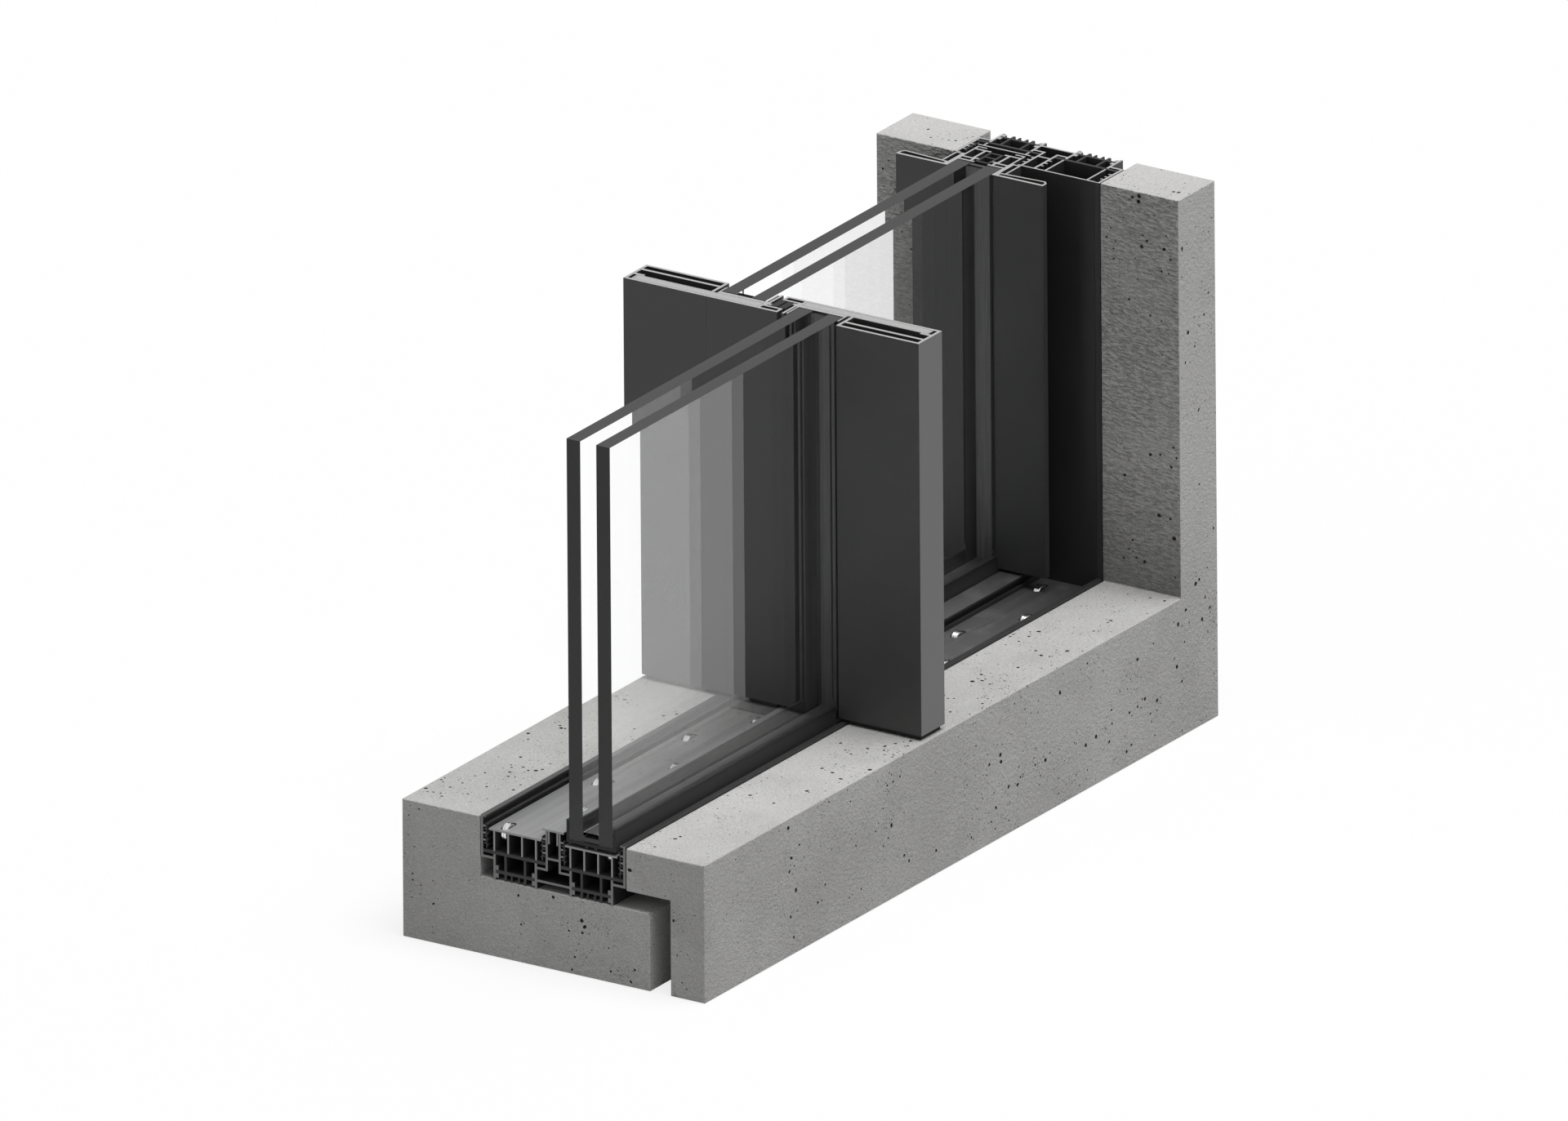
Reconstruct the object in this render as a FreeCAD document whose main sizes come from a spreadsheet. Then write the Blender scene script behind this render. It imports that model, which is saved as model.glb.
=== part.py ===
"""Cut-away sample of a slim-framed horizontal sliding window set into concrete.

The frame is X along the slide (the cut end at -X, the jamb at +X), Y across the wall
(inner face at +Y, outer face at -Y) and Z up, with the origin under the middle of the base.
Inside this file the sill is drawn from a working corner: X is counted from the cut end,
Y from the middle of the wall and Z from the top of the concrete.
"""
import FreeCAD, Part
import os
import re
import Sketcher

SIZES = [
    ("sample_length", 698.3, "cut end to the back of the jamb"),
    ("cut_height", 314.3, "concrete top to the upper cut"),
    ("wall_depth", 265, "inner to outer face of the concrete"),
    ("slab_drop", 108.6, "concrete top to the underside"),
    ("recess_drop", 47.4, "concrete top to the floor that carries the frame"),
    ("wall_joint", 17.9, "open joint between the two concrete parts"),
    ("outer_shelf", 33.3, "thickness of the outer shelf"),
    ("outer_downstand", 30, "thickness of the outer downstand"),
    ("joint_gap", 0.5, "sealing joint between frame and concrete"),
    ("frame_wall", 2, "usual wall of the frame extrusions"),
    ("deck_wall", 1.5, "wall of the decks and covers"),
    ("frame_top", 1.5, "height of the frame above the concrete"),
    ("flange_drop", 31.7, "concrete top to the underside of the flange legs"),
    ("flange_lip", 4.5, "reach of the lip at the top of each flange"),
    ("lip_height", 1.2, "thickness of that lip"),
    ("web_top", 27.5, "concrete top to the seat of the thermal block"),
    ("web_height", 19.9, "height of the lower webs"),
    ("rib_reach", 2.4, "reach of the small holding ribs"),
    ("rib_height", 1.5, "thickness of the small holding ribs"),
    ("rib_first", 7.5, "concrete top to the lowest side of the first rib"),
    ("rib_pitch", 5.5, "spacing of the ribs"),
    ("rib_count", 3, "ribs on each wall"),
    ("crimp_reach", 2.5, "reach of the crimped feet"),
    ("crimp_height", 3.5, "height of each crimped foot"),
    ("rail_half", 6.6, "middle of the wall to the outer side of the middle rail"),
    ("rail_wall", 1.8, "wall of the middle rail"),
    ("rail_bridge", 22.5, "concrete top to the underside of the rail bridge"),
    ("rail_floor", 41.7, "concrete top to the underside of the rail floor"),
    ("track_offset", 33.4, "middle of the wall to the middle of each track"),
    ("track_edge", 30.6, "track middle to the side of the recess"),
    ("lower_web_half", 17.15, "track middle to the lower webs"),
    ("block_floor", 2.5, "thickness of the thermal block's upper bar"),
    ("block_base", 42, "concrete top to the underside of the block's lower bar"),
    ("block_bar", 2.4, "thickness of the block's lower bar"),
    ("block_web_half", 8.5, "track middle to the thermal block's webs"),
    ("block_wall", 2, "wall of the thermal block"),
    ("block_foot", 4.4, "height of the block's feet"),
    ("foot_offset", 3.2, "track middle to the two inner feet"),
    ("foot_wall", 1.2, "thickness of the two inner feet"),
    ("fit_gap", 0.1, "gap where plastic and metal slide together"),
    ("cover_gap", 0.3, "joint between a cover and what it meets"),
    ("filler_reach", 1.9, "reach of the jamb plate past the middle rail"),
    ("mitre_gap", 2, "how far a bar runs on before its mitre is cut"),
    ("cut_margin", 1, "how far a cutting shape reaches past the solid"),
    ("deck_top", 7.8, "concrete top to the running deck"),
    ("deck_clearance", 3.9, "side of the middle rail to the edge of a deck"),
    ("deck_web_inset", 4.6, "edge of a deck to its outermost web"),
    ("deck_web_count", 4, "webs under a deck"),
    ("jamb_deck_line", 18.5, "jamb face to the deck of the inner track"),
    ("cap_clearance", 2.4, "cap on the middle rail to the sash rail"),
    ("cap_leg", 10, "length of the cap's legs"),
    ("cap_leg_wall", 1.2, "thickness of the cap's legs"),
    ("cap_leg_inset", 0.5, "play between cap leg and rail wall"),
    ("jamb_back", 48.3, "face of the jamb frame to the back of the concrete"),
    ("roller_radius", 7, "radius of a roller"),
    ("roller_width", 4.8, "width of a roller"),
    ("roller_rise", 2.5, "height of a roller above the deck"),
    ("roller_pitch", 56, "spacing of the rollers"),
    ("roller_first", 10.5, "cut end to the first roller"),
    ("roller_count", 12, "rollers in a track"),
    ("outer_roller_shift", 3, "offset of the outer track's rollers along the slide"),
    ("axle_radius", 1.5, "radius of a roller's axle"),
    ("slot_length", 16.4, "length of a roller's slot"),
    ("slot_width", 5.8, "width of a roller's slot"),
    ("slot_corner", 1.6, "cut-off corner of a roller's slot"),
    ("pane", 12, "thickness of each pane"),
    ("pane_gap", 14, "space between the panes"),
    ("running_gap", 0.3, "sash underside to the rollers and slips"),
    ("sash_wall", 2, "side wall of the sash rail"),
    ("sash_base", 2.5, "floor of the sash rail"),
    ("sash_side", 18, "height of the sash rail"),
    ("glass_side_gap", 0.5, "play between pane and rail"),
    ("keel_offset", 4, "track middle to the small keels"),
    ("keel_wall", 2.2, "thickness of the small keels"),
    ("keel_drop", 2, "height of the small keels"),
    ("spacer_rise", 4.2, "glass edge to the spacer"),
    ("spacer_height", 3.8, "height of the spacer bar"),
    ("spacer_end", 3, "width of the upright spacers"),
    ("spacer_wall", 0.6, "wall of the hollow spacers"),
    ("spacer_edge", 0.5, "glass edge to the upright spacer at the meeting stile"),
    ("meeting_line", 316, "cut end to the middle of the meeting stiles"),
    ("blade_setback", 2.8, "face of the concrete to the tip of a blade"),
    ("root_room", 23.6, "track middle to the root of a blade"),
    ("blade_half", 15.8, "half the thickness of a blade"),
    ("blade_wall", 2.4, "wall of a blade"),
    ("blade_rise", 4, "concrete top to the underside of the blades"),
    ("bar_thick", 7.6, "thickness of the stiffening bar"),
    ("bar_room", 4.5, "near side of the hook to the near end of the bar"),
    ("bar_setback", 6.9, "tip of a blade to the far end of the bar"),
    ("bar_gap", 0.3, "gap round the bar"),
    ("bar_cheek", 0.4, "thin wall behind the bar"),
    ("tip_web", 1.2, "web between the bar and the chamber at the tip"),
    ("chamber_web", 2.6, "web between the blade's chambers"),
    ("upper_chamber", 5.8, "depth of the blade's back chamber"),
    ("tip_step", 8.5, "length of the thick patch by the tip"),
    ("tip_patch", 2.4, "thickness of that patch"),
    ("stile_band", 3.5, "thickness of the band behind the glass edge"),
    ("clip_wall", 1.2, "thickness of the clip beside the pane"),
    ("hook_room", 5.4, "near side of the hook to the pane"),
    ("hook_wall", 2, "thickness of the hook"),
    ("lip_gap", 1, "tape joint between hook and glazing lip"),
    ("glazing_lip", 1.4, "thickness of the glazing lip"),
    ("toe_reach", 5.3, "reach of the hook's toe past the middle"),
    ("toe_wall", 2.1, "wall of the hook's toe"),
    ("toe_height", 8.3, "height of the hook's toe"),
    ("edge_cover", 0.5, "middle of the stile to the glass edge"),
    ("seal_gap", 0.8, "middle of the wall to the meeting seal"),
    ("seal_half", 7, "half the length of the meeting seal"),
    ("hook_setback", 0.3, "back of the blade to the end of the hook"),
    ("lip_setback", 1.8, "back of the blade to the end of the glazing lip"),
    ("clip_setback", 8, "back of the blade to the end of the clip"),
    ("barb_start", 4.5, "back of the band to the near side of the hook's barb"),
    ("barb_end", 1.5, "back of the band to the far side of the hook's barb"),
    ("barb_reach", 2.4, "reach of the hook's barb"),
    ("seal_play", 0.5, "play at the end of the meeting seal"),
    ("seal_rest", 2.5, "hook to the back of the meeting seal"),
    ("brush_inset", 1, "blade's outline to the track brush"),
    ("brush_start", 2.6, "ribs of the middle rail to the track brush"),
    ("under_brush_room", 1, "side of the recess to the brush under a blade"),
    ("under_brush_inset", 2.5, "blade's outline to the brush under it"),
    ("lock_projection", 28.5, "front of the lock stile to the jamb face"),
    ("lock_leg", 3.5, "thickness of the lock stile's legs"),
    ("lock_bar_setback", 13.5, "lock stile's first bar to the jamb face"),
    ("lock_glass_gap", 1.5, "glass edge to the lock stile's first bar"),
    ("lock_bar", 2, "thickness of the lock stile's bars"),
    ("lock_box_setback", 8, "front of the lock stile's box to the jamb face"),
    ("lock_box_depth", 19.5, "depth of the lock stile's box"),
    ("lock_box_inner", 9.6, "sash middle to the box's inner side"),
    ("lock_shoulder", 6.5, "front of the box to the end of the thick leg"),
    ("lock_tail_wall", 1.5, "wall of the lock stile's tail"),
    ("lock_tail_depth", 14.5, "jamb face to the lock stile's tail"),
    ("lock_tail_inner", 12.5, "sash middle to the tail's end"),
    ("notch_start", 1, "front of the box to the near side of its notch"),
    ("notch_end", 3, "front of the box to the far side of its notch"),
    ("notch_depth", 1, "depth of the step beside the notch"),
    ("pocket_wall", 0.8, "wall behind the lock stile's pocket"),
    ("bridge_half", 6, "half the width of the plastic bridge"),
    ("bridge_depth", 9.5, "jamb face to the back of the plastic bridge"),
    ("bridge_wall", 1.8, "wall of the plastic bridge"),
    ("bridge_play", 0.5, "play in front of the plastic bridge"),
    ("bridge_cell", 10, "front of the bridge to its middle web"),
    ("pull_tip", 64.4, "sash middle to the tip of the finger pulls"),
    ("pull_root_depth", 6.5, "depth of a finger pull at its root"),
    ("pull_tip_depth", 9, "depth of a finger pull at its tip"),
    ("pull_corner", 3.5, "length of the cut corner at the pull's tip"),
    ("pull_corner_rise", 3, "height of that cut corner"),
    ("pull_floor", 1.2, "wall of the pull at its root"),
    ("pull_tip_wall", 1.8, "wall of the pull at its tip"),
    ("leaf_inner", 27, "sash middle to the cover leaf"),
    ("leaf_end", 6, "front of the box to the end of the cover leaf"),
    ("leaf_root", 0.3, "root of the pull to the foot of the cover leaf"),
]
DERIVED = [
    ("frame_half", "track_offset + track_edge", "middle of the wall to each side of the recess"),
    ("jamb_face", "sample_length - jamb_back", "cut end to the face of the jamb frame"),
    ("glass_half", "pane + pane_gap / 2", "sash middle to the face of the glazing unit"),
    ("sash_half", "glass_half + glass_side_gap + sash_wall", "sash middle to the face of its rail"),
    ("sash_floor", "roller_rise - deck_top + running_gap", "concrete top to the sash underside"),
    ("glass_floor", "sash_floor + sash_base + running_gap", "concrete top to the lower glass edge"),
    ("deck_half", "track_offset - rail_half - deck_clearance", "half the width of a deck"),
    ("deck_web_spacing", "2 * (deck_half - deck_web_inset) / (deck_web_count - 1)",
     "spacing of the deck's webs"),
    ("cap_half", "track_offset - sash_half - cap_clearance", "half the width of the cap"),
    ("hook_inner", "track_offset - glass_half - hook_room", "middle of the wall to the hook"),
    ("blade_root", "track_offset + root_room", "middle of the wall to the root of a blade"),
    ("blade_tip", "wall_depth / 2 - blade_setback", "middle of the wall to the tip of a blade"),
    ("bar_start", "hook_inner + bar_room", "middle of the wall to the near end of the bar"),
    ("bar_end", "blade_tip - bar_setback", "middle of the wall to the far end of the bar"),
    ("lock_front", "jamb_face - lock_projection", "cut end to the front of the lock stile"),
    ("lock_bar_line", "jamb_face - lock_bar_setback", "cut end to the lock stile's first bar"),
    ("lock_box_line", "jamb_face - lock_box_setback", "cut end to the lock stile's box"),
    ("lock_tail", "jamb_face + lock_tail_depth", "cut end to the lock stile's tail"),
    ("bridge_end", "jamb_face + bridge_depth", "cut end to the back of the plastic bridge"),
]
NAMES = {name for name, value, note in SIZES + DERIVED}

doc = FreeCAD.newDocument("sliding_window")
sheet = doc.addObject("Spreadsheet::Sheet", "Sizes")
ROWS = SIZES + [(name, "=" + formula, note) for name, formula, note in DERIVED]
for row, (name, value, note) in enumerate(ROWS, start=1):
    sheet.set(f"A{row}", name)
    sheet.set(f"B{row}", str(value))
    sheet.set(f"C{row}", note)
    sheet.setAlias(f"B{row}", name)
doc.recompute()


def bound(text):
    """A formula on the names of the sizes, as the document's expressions spell it."""
    return re.sub(r"[a-z][a-z_]*", lambda word: "Sizes." + word.group()
                  if word.group() in NAMES else word.group(), str(text))


def size(text):
    """The value that a formula has now, in millimetres."""
    result = sheet.evalExpression(bound(text))
    return float(getattr(result, "Value", result))


def new_body(name):
    """An empty body that gives one sub-part."""
    body = doc.addObject("PartDesign::Body", name)
    body.Label = name
    return body


def new_sketch(body, role, offset="0"):
    """A sketch on one of the body's own planes, pushed along the plane's normal."""
    sketch = body.newObject("Sketcher::SketchObject", body.Name + "_sketch")
    plane = [item for item in body.Origin.OriginFeatures if item.Role == role][0]
    sketch.AttachmentSupport = [(plane, "")]
    sketch.MapMode = "FlatFace"
    sketch.setExpression("AttachmentOffset.Base.z", bound(offset))
    return sketch


def draw_outline(sketch, corners):
    """A closed outline whose corners are all tied to the named sizes."""
    first = sketch.GeometryCount
    points = [FreeCAD.Vector(size(across), size(up), 0) for across, up in corners]
    sketch.addGeometry([Part.LineSegment(point, points[(index + 1) % len(points)])
                        for index, point in enumerate(points)])
    count = len(points)
    sketch.addConstraint([Sketcher.Constraint("Coincident", first + index, 2, first + (index + 1) % count, 1)
                          for index in range(count)])
    for index, (across, up) in enumerate(corners):
        for kind, text, value in (("DistanceX", across, points[index].x), ("DistanceY", up, points[index].y)):
            rule = sketch.addConstraint(Sketcher.Constraint(kind, first + index, 1, value))
            sketch.setExpression(f"Constraints[{rule}]", bound(text))


def box_corners(low_across, low_up, high_across, high_up):
    """The four corners of a rectangle, as formulas."""
    return [(low_across, low_up), (high_across, low_up), (high_across, high_up), (low_across, high_up)]


def pad(body, sketch, length):
    """Material grown from a sketch along its normal."""
    feature = body.newObject("PartDesign::Pad", body.Name + "_pad")
    feature.Profile = sketch
    feature.setExpression("Length", bound(length))
    return feature


def pocket(body, sketch, length, reverse=False):
    """A cut from a sketch, against its normal, or along it where reverse is set."""
    feature = body.newObject("PartDesign::Pocket", body.Name + "_pocket")
    feature.Profile = sketch
    feature.Reversed = reverse
    feature.setExpression("Length", bound(length))
    return feature


def place(body, along="0", across="0", up="0", turn=None):
    """Moves a body from the working corner to the part's own origin."""
    if turn is not None:
        body.Placement = FreeCAD.Placement(FreeCAD.Vector(), turn)
    body.setExpression("Placement.Base.x", bound(f"{along} - sample_length / 2"))
    body.setExpression("Placement.Base.y", bound(across))
    body.setExpression("Placement.Base.z", bound(f"{up} + slab_drop"))


def profile(name, role, outlines, start, length):
    """A straight extrusion: its first outline is the skin and the others are its chambers."""
    body = new_body(name)
    sketch = new_sketch(body, role, start)
    for corners in outlines:
        draw_outline(sketch, corners)
    pad(body, sketch, length)
    return body


UPRIGHT = FreeCAD.Rotation(FreeCAD.Vector(0, 1, 0), -90)
HALF_TURN = FreeCAD.Rotation(FreeCAD.Vector(0, 0, 1), 180)
LAYING, STANDING = "sill", "jamb"
INNER, OUTER = 1, -1
SIDE_NAMES = {INNER: "inner", OUTER: "outer"}


def mitre(body, run):
    """Cuts the corner end of a frame extrusion at 45 degrees, where sill and jamb meet."""
    top = "frame_top + cut_margin"
    base = "-recess_drop - cut_margin"
    sketch = new_sketch(body, "XZ_Plane", "-wall_depth")
    if run == LAYING:
        far = "jamb_face + recess_drop + mitre_gap + cut_margin"
        draw_outline(sketch, [(f"jamb_face - ({top})", top), (far, top), (far, base),
                              (f"jamb_face - ({base})", base)])
    else:
        far = "-recess_drop - mitre_gap - cut_margin"
        draw_outline(sketch, [(top, top), (far, top), (far, base), (base, base)])
    before = body.Tip
    cut = pocket(body, sketch, "2 * wall_depth")
    doc.recompute()
    if cut.Shape.Volume > before.Shape.Volume - 1:
        cut.Reversed = not cut.Reversed


def frame_extrusion(name, run, outlines):
    """One extrusion of the fixed frame, laid in the sill or stood up at the jamb."""
    if run == LAYING:
        body = profile(name, "YZ_Plane", outlines, "0", "jamb_face + recess_drop + mitre_gap")
    else:
        body = profile(name, "YZ_Plane", outlines, "-recess_drop - mitre_gap",
                       "cut_height + recess_drop + mitre_gap")
    mitre(body, run)
    if run == LAYING:
        place(body)
    else:
        place(body, along="jamb_face", turn=UPRIGHT)
    return body


def ribs(wall, reach):
    """Small holding ribs down one side of a wall, from the lowest to the highest."""
    corners = []
    for index in reversed(range(int(size("rib_count")))):
        low = f"-rib_first - {index} * rib_pitch"
        corners += [(wall, low), (reach, low), (reach, f"{low} + rib_height"), (wall, f"{low} + rib_height")]
    return corners


def crimps(web, reach):
    """The two crimped feet that grip a thermal block, from the highest to the lowest."""
    grip = "block_base - block_bar"
    corners = []
    for high in (f"-({grip}) + crimp_height + fit_gap", "-block_base - fit_gap"):
        low = f"{high} - crimp_height"
        corners += [(web, high), (reach, high), (reach, low), (web, low)]
    return corners


def flange_outline(side):
    """Outline of a side extrusion: flange with lip and ribs, leg, and web with crimped feet."""
    face = "(frame_half - joint_gap)"
    plate = f"{face} - frame_wall"
    web = "track_offset + lower_web_half"
    web_back = f"{web} + frame_wall"
    foot = "-web_top - web_height"
    lip = f"{face} - flange_lip"
    corners = [(web, foot), (web_back, foot), (web_back, "-flange_drop"), (face, "-flange_drop"),
               (face, "frame_top"), (lip, "frame_top"), (lip, "frame_top - lip_height"),
               (plate, "frame_top - lip_height")]
    corners += list(reversed(ribs(plate, f"{plate} - rib_reach")))
    corners += [(plate, "-flange_drop + frame_wall"), (web_back, "-flange_drop + frame_wall"),
                (web_back, "-web_top"), (web, "-web_top")]
    corners += crimps(web, f"{web} - crimp_reach")
    return [(f"{side} * ({across})", up) for across, up in corners]


def rail_outlines():
    """Outline and chamber of the middle extrusion: rail with ribs, bridge, webs and floor."""
    web = "track_offset - lower_web_half"
    inside = f"{web} - frame_wall"
    foot = "-web_top - web_height"
    half = [(inside, "-rail_floor"), (inside, foot), (web, foot)]
    half += list(reversed(crimps(web, f"{web} + crimp_reach")))
    half += [(web, "-web_top"), (inside, "-web_top"), (inside, "-flange_drop + rail_wall"),
             ("rail_half", "-flange_drop + rail_wall")]
    half += ribs("rail_half", "rail_half + rib_reach")
    half += [("rail_half", "0"), ("rail_half - rail_wall", "0"),
             ("rail_half - rail_wall", "-rail_bridge + rail_wall")]
    skin = half + [(f"-({across})", up) for across, up in reversed(half)]
    hollow = [(inside, "-rail_floor + rail_wall"), (inside, "-flange_drop"),
              ("rail_half - rail_wall", "-flange_drop"), ("rail_half - rail_wall", "-rail_bridge")]
    chamber = hollow + [(f"-({across})", up) for across, up in reversed(hollow)]
    return [skin, chamber]


def block_outlines(side):
    """Outline and chamber of a plastic thermal block: bars, webs and feet."""
    reach = "lower_web_half - fit_gap"
    outer = "frame_half - joint_gap - frame_wall - fit_gap - track_offset"
    inner = "track_offset - rail_half - fit_gap"
    low = "-block_base"
    foot = "-block_base - block_foot"
    bar = "-block_base + block_bar"
    web_in, web_out = "block_web_half - block_wall / 2", "block_web_half + block_wall / 2"
    toe_in, toe_out = "foot_offset - foot_wall / 2", "foot_offset + foot_wall / 2"
    feet = [(toe_in, low), (toe_in, foot), (toe_out, foot), (toe_out, low),
            (web_in, low), (web_in, foot), (web_out, foot), (web_out, low)]
    half = feet + [(reach, low), (reach, bar), (web_out, bar), (web_out, "-web_top")]
    skin = half + [(outer, "-web_top"), (outer, "-web_top + block_floor"),
                   (f"-({inner})", "-web_top + block_floor"), (f"-({inner})", "-web_top")]
    skin += [(f"-({across})", up) for across, up in reversed(half)]
    chamber = [(web_in, bar), (web_in, "-web_top"), (f"-({web_in})", "-web_top"), (f"-({web_in})", bar)]
    return [[(f"{side} * (track_offset + {across})", up) for across, up in outline]
            for outline in (skin, chamber)]


def deck_outline(side, plate_top, webs):
    """Outline of a running deck: a plate on webs that stand on the thermal block."""
    plate_low = f"{plate_top} - deck_wall"
    foot = "-web_top + block_floor"
    corners = [("deck_half", plate_low), ("deck_half", plate_top), ("-deck_half", plate_top),
               ("-deck_half", plate_low)]
    for offset in webs:
        left, right = f"{offset} - deck_wall / 2", f"{offset} + deck_wall / 2"
        corners += [(left, plate_low), (left, foot), (right, foot), (right, plate_low)]
    return [(f"{side} * (track_offset + {across})", up) for across, up in corners]


def web_offsets():
    """Places of the deck's webs, from the track's middle."""
    count = int(size("deck_web_count"))
    return [f"({index} - {(count - 1) / 2}) * deck_web_spacing" for index in range(count)]


def roller_places(side):
    """Centres of a track's rollers, which sit in the two outermost chambers in turn."""
    places = []
    shift = "0" if side == INNER else "outer_roller_shift"
    for index in range(int(size("roller_count"))):
        row = 1 if index % 2 == 0 else -1
        along = f"roller_first + {shift} + {index} * roller_pitch"
        if size(f"{along} + slot_length / 2") < size("jamb_face"):
            places.append((along, f"{side} * (track_offset + {row} * deck_web_spacing)"))
    return places


def slot_corners(along, across):
    """The eight corners of a roller's slot, as formulas."""
    corners = []
    for end, edge in ((-1, -1), (1, -1), (1, 1), (-1, 1)):
        at_end = (f"{along} + {end} * slot_length / 2",
                  f"{across} + {edge} * (slot_width / 2 - slot_corner)")
        at_side = (f"{along} + {end} * (slot_length / 2 - slot_corner)",
                   f"{across} + {edge} * slot_width / 2")
        corners += [at_end, at_side] if end == edge else [at_side, at_end]
    return corners


def sill_deck(side):
    """The running deck of one track, with a slot for each roller."""
    body = profile(f"sill_{SIDE_NAMES[side]}_deck", "YZ_Plane",
                   [deck_outline(side, "-deck_top", web_offsets())], "0", "jamb_face + jamb_deck_line")
    sketch = new_sketch(body, "XY_Plane", "-deck_top + cut_margin")
    for along, across in roller_places(side):
        draw_outline(sketch, slot_corners(along, across))
    pocket(body, sketch, "deck_wall + 2 * cut_margin")
    place(body)
    return body


def rollers(side):
    """The rollers of one track, each on an axle that lies between two webs of the deck."""
    name = f"sill_{SIDE_NAMES[side]}_rollers"
    solids = []
    height = size("roller_rise - deck_top - roller_radius")
    span = size("deck_web_spacing - deck_wall")
    sideways = FreeCAD.Vector(0, 1, 0)
    for along, across in roller_places(side):
        centre = FreeCAD.Vector(size(along), size(across), height)
        wheel = Part.makeCylinder(size("roller_radius"), size("roller_width"),
                                  centre - sideways * (size("roller_width") / 2), sideways)
        axle = Part.makeCylinder(size("axle_radius"), span, centre - sideways * (span / 2), sideways)
        solids.append(wheel.fuse(axle).removeSplitter())
    feature = doc.addObject("Part::Feature", name)
    feature.Label = name
    feature.Shape = Part.makeCompound(solids)
    place(feature)
    return feature


def rail_cap():
    """The clipped cap on the middle rail of the sill, with a small hook at its inner edge."""
    leg_out = "rail_half - rail_wall - cap_leg_inset"
    leg_in = f"{leg_out} - cap_leg_wall"
    skin = [("cap_half", "0"), ("cap_half", "frame_top"), ("-cap_half", "frame_top"), ("-cap_half", "0")]
    for low, high in ((f"-({leg_out})", f"-({leg_in})"), (leg_in, leg_out)):
        skin += [(low, "0"), (low, "-cap_leg"), (high, "-cap_leg"), (high, "0")]
    body = profile("sill_rail_cap", "YZ_Plane", [skin], "0", "jamb_face - deck_wall")
    place(body)
    return body


def jamb_deck():
    """The short upright deck that closes the inner track at the jamb."""
    webs = web_offsets()
    corners = deck_outline(INNER, "-jamb_deck_line", [webs[0], webs[-1]])
    body = profile("jamb_inner_deck", "YZ_Plane", [corners], "-deck_top", "cut_height + deck_top")
    place(body, along="jamb_face", turn=UPRIGHT)
    return body


def jamb_filler():
    """The flush plate that covers the unused outer track at the jamb."""
    edge = "-(frame_half - joint_gap - flange_lip - cover_gap)"
    low = "frame_top - deck_wall"
    rail = "rail_half + filler_reach"
    foot = "-web_top + block_floor"
    webs = [f"-track_offset + {offset}" for offset in (web_offsets()[0], web_offsets()[-1])]
    body = new_body("jamb_outer_filler")
    sketch = new_sketch(body, "YZ_Plane", "0")
    draw_outline(sketch, box_corners(edge, low, rail, "frame_top"))
    pad(body, sketch, "cut_height")
    sketch = new_sketch(body, "YZ_Plane", "-deck_top")
    near = "-cap_half - cover_gap"
    skin = [(near, low), (near, "frame_top"), (edge, "frame_top"), (edge, low)]
    for web in webs:
        left, right = f"{web} - deck_wall / 2", f"{web} + deck_wall / 2"
        skin += [(left, low), (left, foot), (right, foot), (right, low)]
    draw_outline(sketch, skin)
    pad(body, sketch, "cut_height + deck_top")
    place(body, along="jamb_face", turn=UPRIGHT)
    return body


def fixed_frame():
    """The extrusions of the frame, in the sill and again at the jamb."""
    for run in (LAYING, STANDING):
        for side in (INNER, OUTER):
            frame_extrusion(f"{run}_{SIDE_NAMES[side]}_flange", run, [flange_outline(side)])
            frame_extrusion(f"{run}_{SIDE_NAMES[side]}_thermal_block", run, block_outlines(side))
        frame_extrusion(f"{run}_middle_rail", run, rail_outlines())
    for side in (INNER, OUTER):
        sill_deck(side)
        rollers(side)
    rail_cap()
    jamb_deck()
    jamb_filler()


def concrete():
    """The two concrete parts of the wall, each a slab with its upright at the jamb."""
    half = "wall_depth / 2"
    floor_end = f"-({half} - outer_downstand - wall_joint)"
    inner = [(half, "-slab_drop"), (half, "0"), ("frame_half", "0"), ("frame_half", "-recess_drop"),
             (floor_end, "-recess_drop"), (floor_end, "-slab_drop")]
    outer = [("-frame_half", "0"), (f"-({half})", "0"), (f"-({half})", "-slab_drop"),
             (f"-({half}) + outer_downstand", "-slab_drop"), (f"-({half}) + outer_downstand", "-outer_shelf"),
             ("-frame_half", "-outer_shelf")]
    for side, skin in ((INNER, inner), (OUTER, outer)):
        body = profile(f"{SIDE_NAMES[side]}_concrete", "YZ_Plane", [skin], "0", "sample_length")
        sketch = new_sketch(body, "XY_Plane", "0")
        draw_outline(sketch, box_corners("sample_length - jamb_back - frame_top", f"{side} * frame_half",
                                         "sample_length", f"{side} * {half}"))
        pad(body, sketch, "cut_height")
        place(body)


def sash_span(side):
    """Where the glass of a sash starts and ends along the slide."""
    if side == INNER:
        return "meeting_line - edge_cover", "lock_bar_line - lock_glass_gap"
    return "0", "meeting_line + edge_cover"


def panes(side):
    """The two panes of a sash."""
    start, end = sash_span(side)
    for layer, name in ((INNER, "inner_pane"), (OUTER, "outer_pane")):
        near = f"{side} * track_offset + {layer} * pane_gap / 2"
        far = f"{side} * track_offset + {layer} * glass_half"
        body = profile(f"{SIDE_NAMES[side]}_sash_{name}", "XY_Plane",
                       [box_corners(start, near, end, far)], "glass_floor", "cut_height - glass_floor")
        place(body)


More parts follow.
